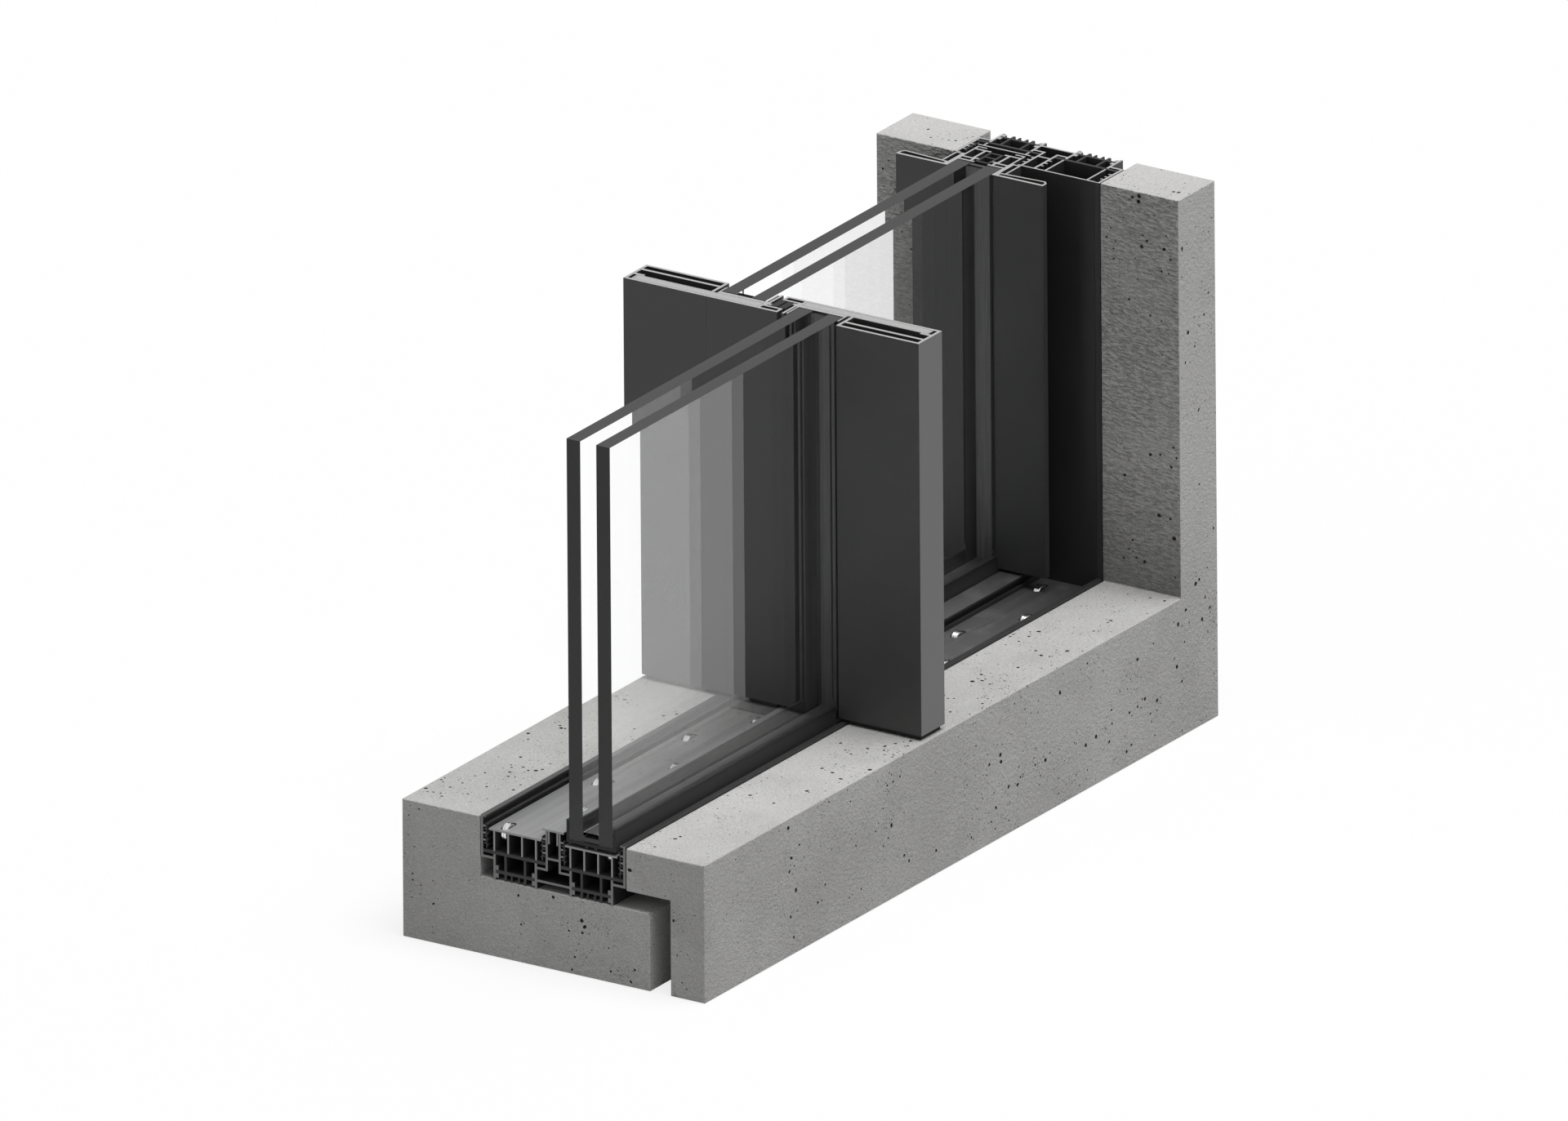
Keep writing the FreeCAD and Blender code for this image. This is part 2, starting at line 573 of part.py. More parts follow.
def spacer(side):
    """The hollow spacer between the panes: a bottom run with uprights where the glass ends."""
    start, end = sash_span(side)
    body = new_body(f"{SIDE_NAMES[side]}_sash_spacer")
    low, high = f"{side} * track_offset - pane_gap / 2", f"{side} * track_offset + pane_gap / 2"
    bottom = "glass_floor + spacer_rise"
    top = f"{bottom} + spacer_height"
    if side == INNER:
        first, last = f"{start} + spacer_edge", f"{end} - spacer_rise"
        uprights = [(first, f"{first} + spacer_end"), (f"{last} - spacer_end", last)]
    else:
        first, last = start, f"{end} - spacer_edge"
        uprights = [(f"{last} - spacer_end", last)]
    sketch = new_sketch(body, "YZ_Plane", first)
    draw_outline(sketch, box_corners(low, bottom, high, top))
    draw_outline(sketch, box_corners(f"{low} + spacer_wall", f"{bottom} + spacer_wall",
                                     f"{high} - spacer_wall", f"{top} - spacer_wall"))
    pad(body, sketch, f"{last} - ({first})")
    for near, far in uprights:
        sketch = new_sketch(body, "XY_Plane", top)
        draw_outline(sketch, box_corners(near, low, far, high))
        draw_outline(sketch, box_corners(f"{near} + spacer_wall", f"{low} + spacer_wall",
                                         f"{far} - spacer_wall", f"{high} - spacer_wall"))
        pad(body, sketch, f"cut_height - ({top})")
    place(body)


def sash_rail(side):
    """The channel under the glass of a sash, with two small keels over the deck."""
    inner_face = "glass_half + glass_side_gap"
    face = f"{inner_face} + sash_wall"
    top = "sash_floor + sash_side"
    keel_in, keel_out = "keel_offset - keel_wall / 2", "keel_offset + keel_wall / 2"
    half = [(keel_in, "sash_floor"), (keel_in, "sash_floor - keel_drop"),
            (keel_out, "sash_floor - keel_drop"), (keel_out, "sash_floor"), (face, "sash_floor"), (face, top),
            (inner_face, top), (inner_face, "sash_floor + sash_base")]
    skin = half + [(f"-({across})", up) for across, up in reversed(half)]
    skin = [(f"{side} * track_offset + {across}", up) for across, up in skin]
    band_end = "meeting_line + blade_half"
    if side == INNER:
        start, length = f"{band_end} + running_gap", f"lock_front - ({band_end}) - 2 * running_gap"
    else:
        start, length = "0", "meeting_line - blade_half - running_gap"
    body = profile(f"{SIDE_NAMES[side]}_sash_bottom_rail", "YZ_Plane", [skin], start, length)
    place(body)


def stile_turn(side):
    """The outer sash's meeting stile is the inner one, turned about the middle of the joint."""
    return None if side == INNER else HALF_TURN


def stile_profile(name, side, outlines, start="blade_rise", length="cut_height - blade_rise"):
    """An upright drawn about the middle of the meeting joint."""
    body = profile(f"{SIDE_NAMES[side]}_{name}", "XY_Plane", outlines, start, length)
    place(body, along="meeting_line", turn=stile_turn(side))
    return body


def blade(side):
    """The deep hollow blade that stiffens a sash at the meeting joint."""
    front = "-blade_half"
    cover = "-blade_half + blade_wall"
    bar_back = f"{cover} + bar_thick + 2 * bar_gap"
    slot_end = "bar_end + bar_gap"
    tip = "blade_tip - blade_wall"
    root_in = "blade_root + blade_wall"
    back = "blade_half - blade_wall"
    middle = "blade_half - blade_wall - upper_chamber"
    skin = [(front, "blade_root"), (cover, "blade_root"), (cover, slot_end), (bar_back, slot_end),
            (bar_back, "blade_root"), ("blade_half", "blade_root"), ("blade_half", "blade_tip"),
            (front, "blade_tip")]
    back_chamber = box_corners(middle, root_in, back, tip)
    lower = f"{middle} - chamber_web"
    cheek = f"{bar_back} + bar_cheek"
    front_chamber = [(cheek, root_in), (lower, root_in), (lower, tip), (f"{cheek} + tip_patch", tip),
                     (f"{cheek} + tip_patch", f"{tip} - tip_step"), (cheek, f"{tip} - tip_step")]
    tip_chamber = box_corners(cover, f"{slot_end} + tip_web", bar_back, tip)
    return stile_profile("blade", side, [skin, back_chamber, front_chamber, tip_chamber])


def stiffening_bar(side):
    """The solid bar that runs from the glass edge out into the blade."""
    front = "-blade_half + blade_wall + bar_gap"
    corners = box_corners(front, "bar_start", f"{front} + bar_thick", "bar_end")
    return stile_profile("stiffening_bar", side, [corners])


def meeting_stile(side):
    """The hooked extrusion at the edge of a sash, with its clip, band, lip, hook and toe."""
    front = "-blade_half"
    cover = "-blade_half + blade_wall"
    band = f"{cover} + bar_thick + 2 * bar_gap"
    band_back = f"{band} + stile_band"
    bar_stop = "bar_start - bar_gap"
    root = "blade_root - fit_gap"
    clip = "track_offset + glass_half + glass_side_gap"
    clip_out = f"{clip} + clip_wall"
    clip_end = "blade_half - clip_setback"
    hook_out = "hook_inner + hook_wall"
    hook_end = "blade_half - hook_setback"
    lip_in = "hook_inner + hook_wall + lip_gap"
    lip_out = f"{lip_in} + glazing_lip"
    lip_end = "blade_half - lip_setback"
    toe_top = "-blade_half + toe_height"
    barb_near, barb_far = f"{band_back} - barb_start", f"{band_back} - barb_end"
    skin = [(front, root), (front, "-toe_reach"), (toe_top, "-toe_reach"), (toe_top, "hook_inner"),
            (barb_near, "hook_inner"), (barb_near, "hook_inner - barb_reach"),
            (barb_far, "hook_inner - barb_reach"), (barb_far, "hook_inner"), (hook_end, "hook_inner"),
            (hook_end, hook_out), (band_back, hook_out), (band_back, lip_in), (lip_end, lip_in),
            (lip_end, lip_out), (band_back, lip_out), (band_back, clip), (clip_end, clip),
            (clip_end, clip_out), (band, clip_out), (band, bar_stop), (cover, bar_stop), (cover, root)]
    toe = box_corners(cover, "-toe_reach + toe_wall", f"{toe_top} - toe_wall", f"{bar_stop} - toe_wall")
    return stile_profile("meeting_stile", side, [skin, toe])


def meeting_seal(side):
    """The soft seal held between the hooks of the two sashes."""
    corners = box_corners("-seal_half", "seal_gap", "seal_half - seal_play", "hook_inner - seal_rest")
    return stile_profile("meeting_seal", side, [corners])


def track_brush(side):
    """The brush that closes the track under the meeting stile and under the glass edge."""
    low, high = "rail_half + rib_reach + brush_start", "track_offset + glass_half"
    front, back = "-blade_half + brush_inset", "blade_half - brush_inset"
    rise = "-edge_cover - brush_inset"
    step = "glass_floor - running_gap"
    base = "-deck_top + running_gap"
    skin = [(front, base), (back, base), (back, step), (rise, step), (rise, "blade_rise"),
            (front, "blade_rise")]
    body = profile(f"{SIDE_NAMES[side]}_track_brush", "XZ_Plane", [skin], f"-({high})", f"{high} - ({low})")
    place(body, along="meeting_line", turn=stile_turn(side))
    return body


def blade_brush(side):
    """The brush under a blade, just clear of the concrete."""
    corners = box_corners("-blade_half + under_brush_inset", "frame_half + under_brush_room",
                          "blade_half - under_brush_inset", "blade_tip - under_brush_inset")
    return stile_profile("blade_brush", side, [corners], "running_gap", "blade_rise - running_gap")


def lock_stile_outlines(side):
    """Outline and chambers of one metal half of the closing stile: leg, bars, box and tail."""
    edge = "glass_half + glass_side_gap"
    leg = f"{edge} + lock_leg"
    tail_out = f"{edge} + lock_tail_wall"
    bar_back = "lock_bar_line + lock_bar"
    box_back = "lock_box_line + lock_box_depth"
    box_lip = f"{box_back} - lock_bar"
    shoulder = "lock_box_line + lock_shoulder"
    tail_back = "lock_tail + lock_tail_wall"
    step = "lock_box_inner - notch_depth"
    notch_near, notch_far = "lock_box_line + notch_start", "lock_box_line + notch_end"
    skin = [("lock_front", edge), ("lock_front", leg), (shoulder, leg), (shoulder, tail_out),
            (tail_back, tail_out), (tail_back, "lock_tail_inner"), ("lock_tail", "lock_tail_inner"),
            ("lock_tail", edge), (box_back, edge), (box_back, "bridge_half"), (box_lip, "bridge_half"),
            (box_lip, "lock_box_inner"), (notch_far, "lock_box_inner"), (notch_far, "bridge_half"),
            (notch_near, "bridge_half"), (notch_near, step), (bar_back, step), (bar_back, "bridge_half"),
            ("lock_bar_line", "bridge_half"), ("lock_bar_line", edge)]
    box = box_corners("lock_box_line + lock_bar", "lock_box_inner + lock_bar",
                      f"{box_back} - lock_bar", edge)
    pocket_corners = box_corners(bar_back, "lock_box_inner + pocket_wall", "lock_box_line", edge)
    return [[(along, f"track_offset + {side} * ({across})") for along, across in outline]
            for outline in (skin, box, pocket_corners)]


def lock_stile():
    """The closing stile of the inner sash: two metal halves joined by a plastic bridge."""
    height = "cut_height - sash_floor"
    for side in (INNER, OUTER):
        body = profile(f"lock_stile_{SIDE_NAMES[side]}_half", "XY_Plane", lock_stile_outlines(side),
                       "sash_floor", height)
        place(body)
    start = "lock_bar_line + lock_bar + bridge_play"
    web = f"{start} + bridge_cell"
    half = "bridge_half - fit_gap"
    skin = box_corners(start, f"track_offset - ({half})", "bridge_end", f"track_offset + {half}")
    low, high = f"track_offset - ({half}) + bridge_wall", f"track_offset + {half} - bridge_wall"
    first = box_corners(f"{start} + bridge_wall", low, web, high)
    second = box_corners(f"{web} + bridge_wall", low, "bridge_end - bridge_wall", high)
    body = profile("lock_stile_bridge", "XY_Plane", [skin, first, second], "sash_floor", height)
    place(body)


def finger_pull(side):
    """A hollow wing to pull the sash by, with the cover leaf beside the frame."""
    root = "glass_half + glass_side_gap + lock_leg"
    floor = f"{root} + pull_floor"
    back_root = "lock_front + pull_root_depth"
    back_tip = "lock_front + pull_tip_depth"
    corner = f"{back_tip} - pull_corner"
    corner_low = "pull_tip - pull_corner_rise"
    front_in = "lock_front + blade_wall"
    leaf_out = "leaf_inner + deck_wall"
    leaf_foot = f"{back_root} + leaf_root"
    leaf_end = "lock_box_line + leaf_end"
    leaf_lip = f"{leaf_end} - deck_wall"
    skin = [("lock_front", root), ("lock_front", "pull_tip"), (corner, "pull_tip"), (back_tip, corner_low),
            (f"{leaf_foot} + leaf_root", leaf_out), (leaf_end, leaf_out), (leaf_end, root),
            (leaf_lip, root), (leaf_lip, "leaf_inner"), (leaf_foot, "leaf_inner"), (back_root, root)]
    hollow = [(front_in, floor), (front_in, "pull_tip - pull_tip_wall"),
              (corner, "pull_tip - pull_tip_wall"), (f"{back_tip} - deck_wall", "pull_tip - pull_corner"),
              (f"{back_root} - deck_wall", floor)]
    outlines = [[(along, f"track_offset + {side} * ({across})") for along, across in outline]
                for outline in (skin, hollow)]
    body = profile(f"{SIDE_NAMES[side]}_finger_pull", "XY_Plane", outlines,
                   "blade_rise", "cut_height - blade_rise")
    place(body)


def sashes():
    """The two sliding sashes, hooked together at their meeting stiles."""
    for side in (INNER, OUTER):
        panes(side)
        spacer(side)
        sash_rail(side)
        blade(side)
        stiffening_bar(side)
        meeting_stile(side)
        meeting_seal(side)
        track_brush(side)
        blade_brush(side)
        finger_pull(side)
    lock_stile()


def write_parts():
    """Checks every object, then writes each sub-part to its own file."""
    doc.recompute()
    failed = [item.Name for item in doc.Objects if "Invalid" in item.State or "Error" in item.State]
    if failed:
        raise RuntimeError("these objects failed: " + ", ".join(failed))
    subparts = [item for item in doc.Objects if item.TypeId in ("PartDesign::Body", "Part::Feature")]
    for item in subparts:
        if item.Shape.isNull() or not item.Shape.isValid():
            raise RuntimeError("this sub-part has no valid shape: " + item.Label)
    os.makedirs("parts", exist_ok=True)
    for item in subparts:
        item.Shape.exportStep(f"parts/{item.Label}.step")
    print(len(subparts), "sub-parts written")


concrete()
fixed_frame()
sashes()
write_parts()
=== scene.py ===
import logging
import math
import random
from collections.abc import Callable
from dataclasses import dataclass, field
from enum import Enum

import bmesh
import bpy
from mathutils import Matrix, Vector


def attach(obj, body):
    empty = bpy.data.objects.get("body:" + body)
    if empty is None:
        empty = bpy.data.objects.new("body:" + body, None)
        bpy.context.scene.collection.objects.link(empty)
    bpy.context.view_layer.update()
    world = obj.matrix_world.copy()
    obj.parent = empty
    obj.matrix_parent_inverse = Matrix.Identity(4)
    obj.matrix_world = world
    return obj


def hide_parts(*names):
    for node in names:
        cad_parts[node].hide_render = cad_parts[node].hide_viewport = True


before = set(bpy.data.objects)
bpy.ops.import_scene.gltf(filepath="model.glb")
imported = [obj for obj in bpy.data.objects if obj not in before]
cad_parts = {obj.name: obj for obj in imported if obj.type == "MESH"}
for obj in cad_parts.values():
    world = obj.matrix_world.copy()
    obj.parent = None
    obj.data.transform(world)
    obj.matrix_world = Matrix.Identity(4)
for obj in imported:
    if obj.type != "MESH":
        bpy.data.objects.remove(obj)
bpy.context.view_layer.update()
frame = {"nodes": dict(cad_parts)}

log = logging.getLogger("window")
MM = 0.001
# Length, wall depth, and how far the sample reaches below and above the concrete's top.
LENGTH, DEPTH, DROP, CUT = 698.3, 265.0, 108.6, 314.3
# From the middle of the wall to the middle of each track.
TRACK = 33.4
# The inner side of the wall lies at +Y and the outer side at -Y.
SIDES = ((1, "inner"), (-1, "outer"))
# How squarely a face has to look along an axis, and how far from a cut it still counts as sawn.
FACING, SKIN = 0.9, 0.05
# The Mix node's sockets for colours.
MIX_SHARE, MIX_FIRST, MIX_SECOND, MIX_RESULT = 0, 6, 7, 2


class Ways(Enum):
    """The direction that a section is extruded in: along the slide, or up the jamb and the sashes."""

    ALONG = (1.0, 0.0, 0.0)
    UP = (0.0, 0.0, 1.0)


Material = bpy.types.Material
Socket = bpy.types.NodeSocket
Outline = list[tuple[float, float]]
# The place, outward direction and radius of each blow hole, in metres.
Holes = list[tuple[Vector, Vector, float]]


def place(along: float, across: float, up: float) -> Vector:
    """Turns working millimetres into a place on the sample.

    Args:
        along: millimetres from the cut end.
        across: millimetres from the middle of the wall, towards the inner face.
        up: millimetres above the top of the concrete.

    Returns:
        The same place in metres, in the frame that the sample is kept in.
    """
    return Vector(((along - LENGTH / 2) * MM, across * MM, (up + DROP) * MM))


def grey(level: int, tint: float = 0.0) -> tuple[float, float, float, float]:
    """A neutral colour in linear light, from a level of 0 to 255 and a warmth of -1 to 1."""
    share = level / 255
    light = share / 12.92 if share < 0.04045 else ((share + 0.055) / 1.055) ** 2.4
    return (light * (1 + 0.03 * tint), light, light * (1 - 0.03 * tint), 1.0)


# Shader helpers


def maths(operation: str, turned: bool = False) -> Callable[..., "Value"]:
    """Gives a method of Value that adds one Math node.

    Args:
        operation: the node's operation.
        turned: whether the other number comes first.

    Returns:
        The method, which takes the other number and gives the node's result.
    """
    def method(self: "Value", other: "Value | float" = 0.0) -> "Value":
        """Adds the node."""
        first, second = (other, self) if turned else (self, other)
        return self.nodes.value("ShaderNodeMath", {"operation": operation}, {0: first, 1: second})

    return method


class Value:
    """A number that varies over a surface, so that shader sums read as plain sums.

    A comparison is one where it holds, else nought.
    """

    __add__ = __radd__ = maths("ADD")
    __sub__, __rsub__ = maths("SUBTRACT"), maths("SUBTRACT", turned=True)
    __mul__ = __rmul__ = maths("MULTIPLY")
    __gt__, __lt__ = maths("GREATER_THAN"), maths("LESS_THAN")
    larger, size, fraction = maths("MAXIMUM"), maths("ABSOLUTE"), maths("FRACT")

    def __init__(self, nodes: "Nodes", socket: Socket) -> None:
        """Keeps the socket and the nodes it belongs to."""
        self.nodes = nodes
        self.socket = socket

    def between(self, low: float, high: float, start: float = 0.0, end: float = 1.0) -> "Value":
        """Stretches the band from low to high over the one from start to end, held at its ends."""
        return self.nodes.value("ShaderNodeMapRange", {"clamp": True}, {
            "Value": self, "From Min": low, "From Max": high, "To Min": start, "To Max": end})

    def spread(self, start: float, end: float) -> "Value":
        """Stretches the usual band of a cloudy pattern from one number to another."""
        return self.between(0.3, 0.7, start, end)


class Nodes:
    """The nodes of one material or of the world."""

    def __init__(self, owner: Material | bpy.types.World) -> None:
        """Empties the tree of the material or world."""
        owner.use_nodes = True
        self.owner = owner
        self.tree = owner.node_tree
        self.tree.nodes.clear()

    def add(self, kind: str, settings: dict[str, object], inputs: dict) -> bpy.types.Node:
        """Adds one node.

        Args:
            kind: the node's type.
            settings: its own settings, which are set first.
            inputs: values or links, by the name or number of the socket.

        Returns:
            The node.
        """
        node = self.tree.nodes.new(kind)
        for key, setting in settings.items():
            setattr(node, key, setting)
        for key, given in inputs.items():
            if isinstance(given, Value):
                given = given.socket
            if isinstance(given, Socket):
                self.tree.links.new(given, node.inputs[key])
            else:
                node.inputs[key].default_value = given
        return node

    def value(self, kind: str, settings: dict[str, object], inputs: dict,
              output: str | int = 0) -> Value:
        """Adds one node and gives one of its outputs as a number."""
        return Value(self, self.add(kind, settings, inputs).outputs[output])

    def coordinates(self, scale: tuple[float, float, float]) -> Socket:
        """The piece's own coordinates, stretched along each axis."""
        source = self.add("ShaderNodeTexCoord", {}, {})
        return self.add("ShaderNodeMapping", {"vector_type": "POINT"},
                        {"Vector": source.outputs["Object"], "Scale": scale}).outputs[0]

    def noise(self, scale: float, detail: float = 3.0,
              stretch: tuple[float, float, float] = (1.0, 1.0, 1.0)) -> Value:
        """A pattern from nought to one: clouds in each metre, finer layers, stretch of each axis."""
        return self.value("ShaderNodeTexNoise", {"noise_dimensions": "3D"},
                          {"Vector": self.coordinates(stretch), "Scale": scale, "Detail": detail})

    def cells(self, scale: float) -> Value:
        """The distance to the nearest of scattered points, so many in each metre."""
        return self.value("ShaderNodeTexVoronoi", {"feature": "F1"},
                          {"Vector": self.coordinates((1.0, 1.0, 1.0)), "Scale": scale}, "Distance")

    def at(self, letter: str) -> Value:
        """The surface's place along X, Y or Z, in metres."""
        source = self.add("ShaderNodeTexCoord", {}, {}).outputs["Object"]
        return self.value("ShaderNodeSeparateXYZ", {}, {0: source}, letter)

    def facing(self, letter: str) -> Value:
        """How squarely the surface looks along X, Y or Z, from -1 to 1."""
        source = self.add("ShaderNodeNewGeometry", {}, {}).outputs["True Normal"]
        return self.value("ShaderNodeSeparateXYZ", {}, {0: source}, letter)

    def blend(self, share: "Value | float", first: object, second: object) -> Socket:
        """Mixes two colours or sockets, showing the second by the share."""
        return self.add("ShaderNodeMix", {"data_type": "RGBA"}, {
            MIX_SHARE: share, MIX_FIRST: first, MIX_SECOND: second}).outputs[MIX_RESULT]

    def bump(self, height: Value, strength: float, distance: float) -> Socket:
        """Bends the normal by a relief, with its strength from 0 to 1 and its depth in metres."""
        return self.add("ShaderNodeBump", {}, {
            "Height": height, "Strength": strength, "Distance": distance}).outputs[0]

    def surface(self, inputs: dict) -> Socket:
        """Adds the main shader with its values or links."""
        return self.add("ShaderNodeBsdfPrincipled", {}, inputs).outputs[0]

    def mixed(self, share: "Value | float", first: Socket, second: Socket) -> Socket:
        """Mixes two shaders, showing the second by the share."""
        return self.add("ShaderNodeMixShader", {}, {0: share, 1: first, 2: second}).outputs[0]

    def cut_faces(self) -> Value:
        """One on the faces that the sample was sawn through, else nought."""
        end = (self.facing("X") < -FACING) * (self.at("X") < (-LENGTH / 2 + SKIN) * MM)
        top = (self.facing("Z") > FACING) * (self.at("Z") > (CUT + DROP - SKIN) * MM)
        return end.larger(top)

    def seen(self) -> Value:
        """One on what is seen directly, in a gloss or through glass, else nought."""
        path = self.add("ShaderNodeLightPath", {}, {})
        camera, glossy, glass = (Value(self, path.outputs[f"Is {kind} Ray"])
                                 for kind in ("Camera", "Glossy", "Transmission"))
        return camera.larger(glossy).larger(glass)

    def done(self, shader: Socket) -> Material | bpy.types.World:
        """Joins the shader to the output and gives the material or world."""
        kind = "World" if isinstance(self.owner, bpy.types.World) else "Material"
        self.add(f"ShaderNodeOutput{kind}", {}, {"Surface": shader})
        return self.owner


@dataclass(frozen=True)
class Finish:
    """A material that is kept as plain numbers until it is built."""

    name: str

    def build(self) -> Material:
        """Builds the material."""
        nodes = Nodes(bpy.data.materials.new(self.name))
        return nodes.done(self.shade(nodes))

    def shade(self, nodes: Nodes) -> Socket:
        """Lays the nodes and gives the last shader, in each finish's own way."""
        raise NotImplementedError


@dataclass(frozen=True)
class Concrete(Finish):
    """Fair-faced concrete with sand grain, fine pits and, at the jamb, a rippled skin."""

    name: str = "fair_faced_concrete"
    pale: int = 207
    dull: int = 187
    pit_shade: int = 58

    def shade(self, nodes: Nodes) -> Socket:
        """Lays the nodes."""
        clouds = nodes.noise(7.0, 6.0)
        stains = nodes.noise(26.0, 5.0).between(0.5, 0.72, 0.0, 0.3)
        sand = nodes.noise(900.0, 2.0)
        grit = nodes.noise(380.0, 3.0)
        patch = nodes.noise(17.0, 3.0).between(0.48, 0.58)
        spread = nodes.noise(90.0, 2.0).between(0.38, 0.62, 0.16, 0.0)
        specks = (nodes.cells(430.0) + spread).between(0.15, 0.24, 1.0, 0.0) * patch
        pitted = nodes.noise(9.0, 2.0).between(0.45, 0.6)
        pits = nodes.cells(120.0).between(0.075, 0.1, 1.0, 0.0) * pitted
        ripple = nodes.noise(185.0, 2.0, (1.0, 1.0, 2.6))
        worn = nodes.noise(12.0, 2.0).between(0.4, 0.6, 0.45, 1.0)
        upright = nodes.at("Z") > (DROP + 1) * MM
        jamb = (nodes.facing("X") < -FACING) * upright
        risen = nodes.at("Z").between((DROP - 30) * MM, (DROP + 90) * MM)
        # Painted light: faces turned to -Y, lighter towards the top, and the jamb's top face.
        painted_light_faces = (nodes.facing("Y") < -FACING) * risen + (nodes.facing("Z") > FACING) * upright
        # Painted shade: the jamb's face darker towards its foot, in the corner with the sill.
        foot = nodes.at("Z").between((DROP + 5) * MM, (DROP + 100) * MM, 0.6, 0.0)
        skin = jamb * worn
        colour = nodes.blend(clouds.between(0.32, 0.68), grey(self.dull, 0.4), grey(self.pale, 0.3))
        for share, level, tint in (
                (stains, 166, 0.4),
                (sand.between(0.34, 0.56, 0.3, 0.0), 112, 0.5),
                (grit.between(0.52, 0.7, 0.0, 0.14), 238, 0.2),
                # Painted shade in the ripple's hollows and painted highlight on its crests, over the
                # jamb's rippled skin.
                (skin * ripple.between(0.4, 0.5, 0.26, 0.0), 82, 0.4),
                (skin * ripple.between(0.54, 0.64, 0.0, 0.3), 240, 0.3),
                # Painted light on the faces turned to -Y and on the jamb's top.
                (painted_light_faces * 0.25, 250, 0.2),
                (jamb * foot, 70, 0.3),
                # Painted shade: the fine pits and specks are dark dots, for the shade inside small
                # pores.
                ((specks * (0.9 - jamb * 0.6)).larger(pits), self.pit_shade, 0.3)):
            colour = nodes.blend(share, colour, grey(level, tint))
        relief = sand * 0.6 + grit - specks * 0.6 - pits * 1.4 + skin * ripple * 5.5
        return nodes.surface({
            "Base Color": colour, "Roughness": grit.spread(0.82, 0.95),
            "Specular IOR Level": 0.3, "Normal": nodes.bump(relief, 0.9, 0.001)})


@dataclass(frozen=True)
class BlowHole(Finish):
    """Painted shade, with some dust, inside the blow holes of the concrete."""

    name: str = "blow_hole_painted_shade"
    deep: int = 44
    dust_and_shade: int = 72

    def shade(self, nodes: Nodes) -> Socket:
        """Lays the nodes."""
        dust = nodes.noise(700.0, 3.0)
        # Both levels are darker concrete: painted shade in the hollows, mottled by dust.
        colour = nodes.blend(dust.between(0.35, 0.65), grey(self.deep, 0.4), grey(self.dust_and_shade, 0.4))
        return nodes.surface({
            "Base Color": colour, "Roughness": dust.spread(0.9, 1.0),
            "Normal": nodes.bump(dust, 0.5, 0.0003)})


@dataclass(frozen=True)
class CoatedMetal(Finish):
    """Aluminium with a fine dark coating, bare and saw-marked where the sample is cut."""

    coat: int
    bare: int
    shaded_bare_end: int
    tip: int = 0
    lit_tip_line: float = 129.6
    foot: int = 0
    painted_light_height: float = 13.0
    rough: float = 0.42

    def shade(self, nodes: Nodes) -> Socket:
        """Lays the nodes."""
        cut = nodes.cut_faces()
        grain = nodes.noise(2600.0, 2.0)
        drift = nodes.noise(14.0, 3.0)
        saw = nodes.noise(60.0, 4.0, (6.0, 14.0, 1.5))
        # Painted shade: sawn faces looking along -X take a darker colour than the sawn tops.
        end = nodes.facing("X") < -FACING
        coat = nodes.blend(drift.spread(0.0, 1.0), grey(self.coat - 2), grey(self.coat + 3))
        coat = nodes.blend(grain.between(0.4, 0.7, 0.0, 0.12), coat, grey(self.coat + 22))
        # Painted light: the strips farthest across the wall are lighter, for the light on the blade's
        # ends.
        if self.tip:
            painted_light_tip = nodes.at("Y").size() > self.lit_tip_line * MM
            tip = nodes.blend(drift.spread(0.0, 1.0), grey(self.tip), grey(self.tip + 4))
            coat = nodes.blend(painted_light_tip, coat, tip)
        # Painted light: the coating's lowest band, just above the concrete, painted lighter against the
        # shade there.
        if self.foot:
            low = nodes.at("Z").between(DROP * MM, (DROP + self.painted_light_height) * MM, 1.0, 0.0)
            coat = nodes.blend(low, coat, grey(self.foot))
        bare = nodes.blend(end, grey(self.bare), grey(self.shaded_bare_end))
        bare = nodes.blend(saw.spread(0.0, 0.3), bare, grey(max(self.shaded_bare_end - 25, 0)))
        sawn = cut * (saw.spread(0.3, 0.45) - self.rough)
        rough = sawn + drift.spread(self.rough - 0.04, self.rough + 0.05)
        height = cut * saw + (1 - cut) * grain * 0.35
        return nodes.surface({
            "Base Color": nodes.blend(cut, coat, bare), "Roughness": rough, "Metallic": cut * 0.7,
            "Specular IOR Level": 0.45, "Normal": nodes.bump(height, 0.2, 0.00015)})


@dataclass(frozen=True)
class RunningDeck(Finish):
    """Mill-finish aluminium, drawn along the slide, with painted shade towards the jamb and on its
    webs.
    """

    name: str = "running_deck_aluminium"
    # Plate colours at the cut end and by the jamb; the darker second one and the webs' colour are
    # painted shade.
    near: int = 156
    far: int = 78
    web_shade: int = 70
    sawn: int = 150

    def shade(self, nodes: Nodes) -> Socket:
        """Lays the nodes."""
        cut = nodes.cut_faces()
        drawn = nodes.noise(55.0, 5.0, (0.12, 12.0, 12.0))
        dust = nodes.noise(38.0, 4.0)
        # Painted shade: the plate darkens from the cut end towards the jamb.
        painted_shade_towards_jamb = nodes.at("X").between(-0.36, 0.26)
        flat = nodes.facing("Z") > FACING
        plate = nodes.blend(painted_shade_towards_jamb, grey(self.near), grey(self.far))
        plate = nodes.blend(drawn.between(0.35, 0.65, 0.0, 0.22), plate, grey(105))
        plate = nodes.blend(dust.between(0.5, 0.75, 0.0, 0.2), plate, grey(170))
        # Painted shade: faces that do not look up take the darker web colour.
        whole = nodes.blend(flat, grey(self.web_shade), plate)
        return nodes.surface({
            "Base Color": nodes.blend(cut, whole, grey(self.sawn)), "Metallic": 0.35,
            "Roughness": drawn.spread(0.42, 0.56), "Normal": nodes.bump(drawn, 0.2, 0.0001)})


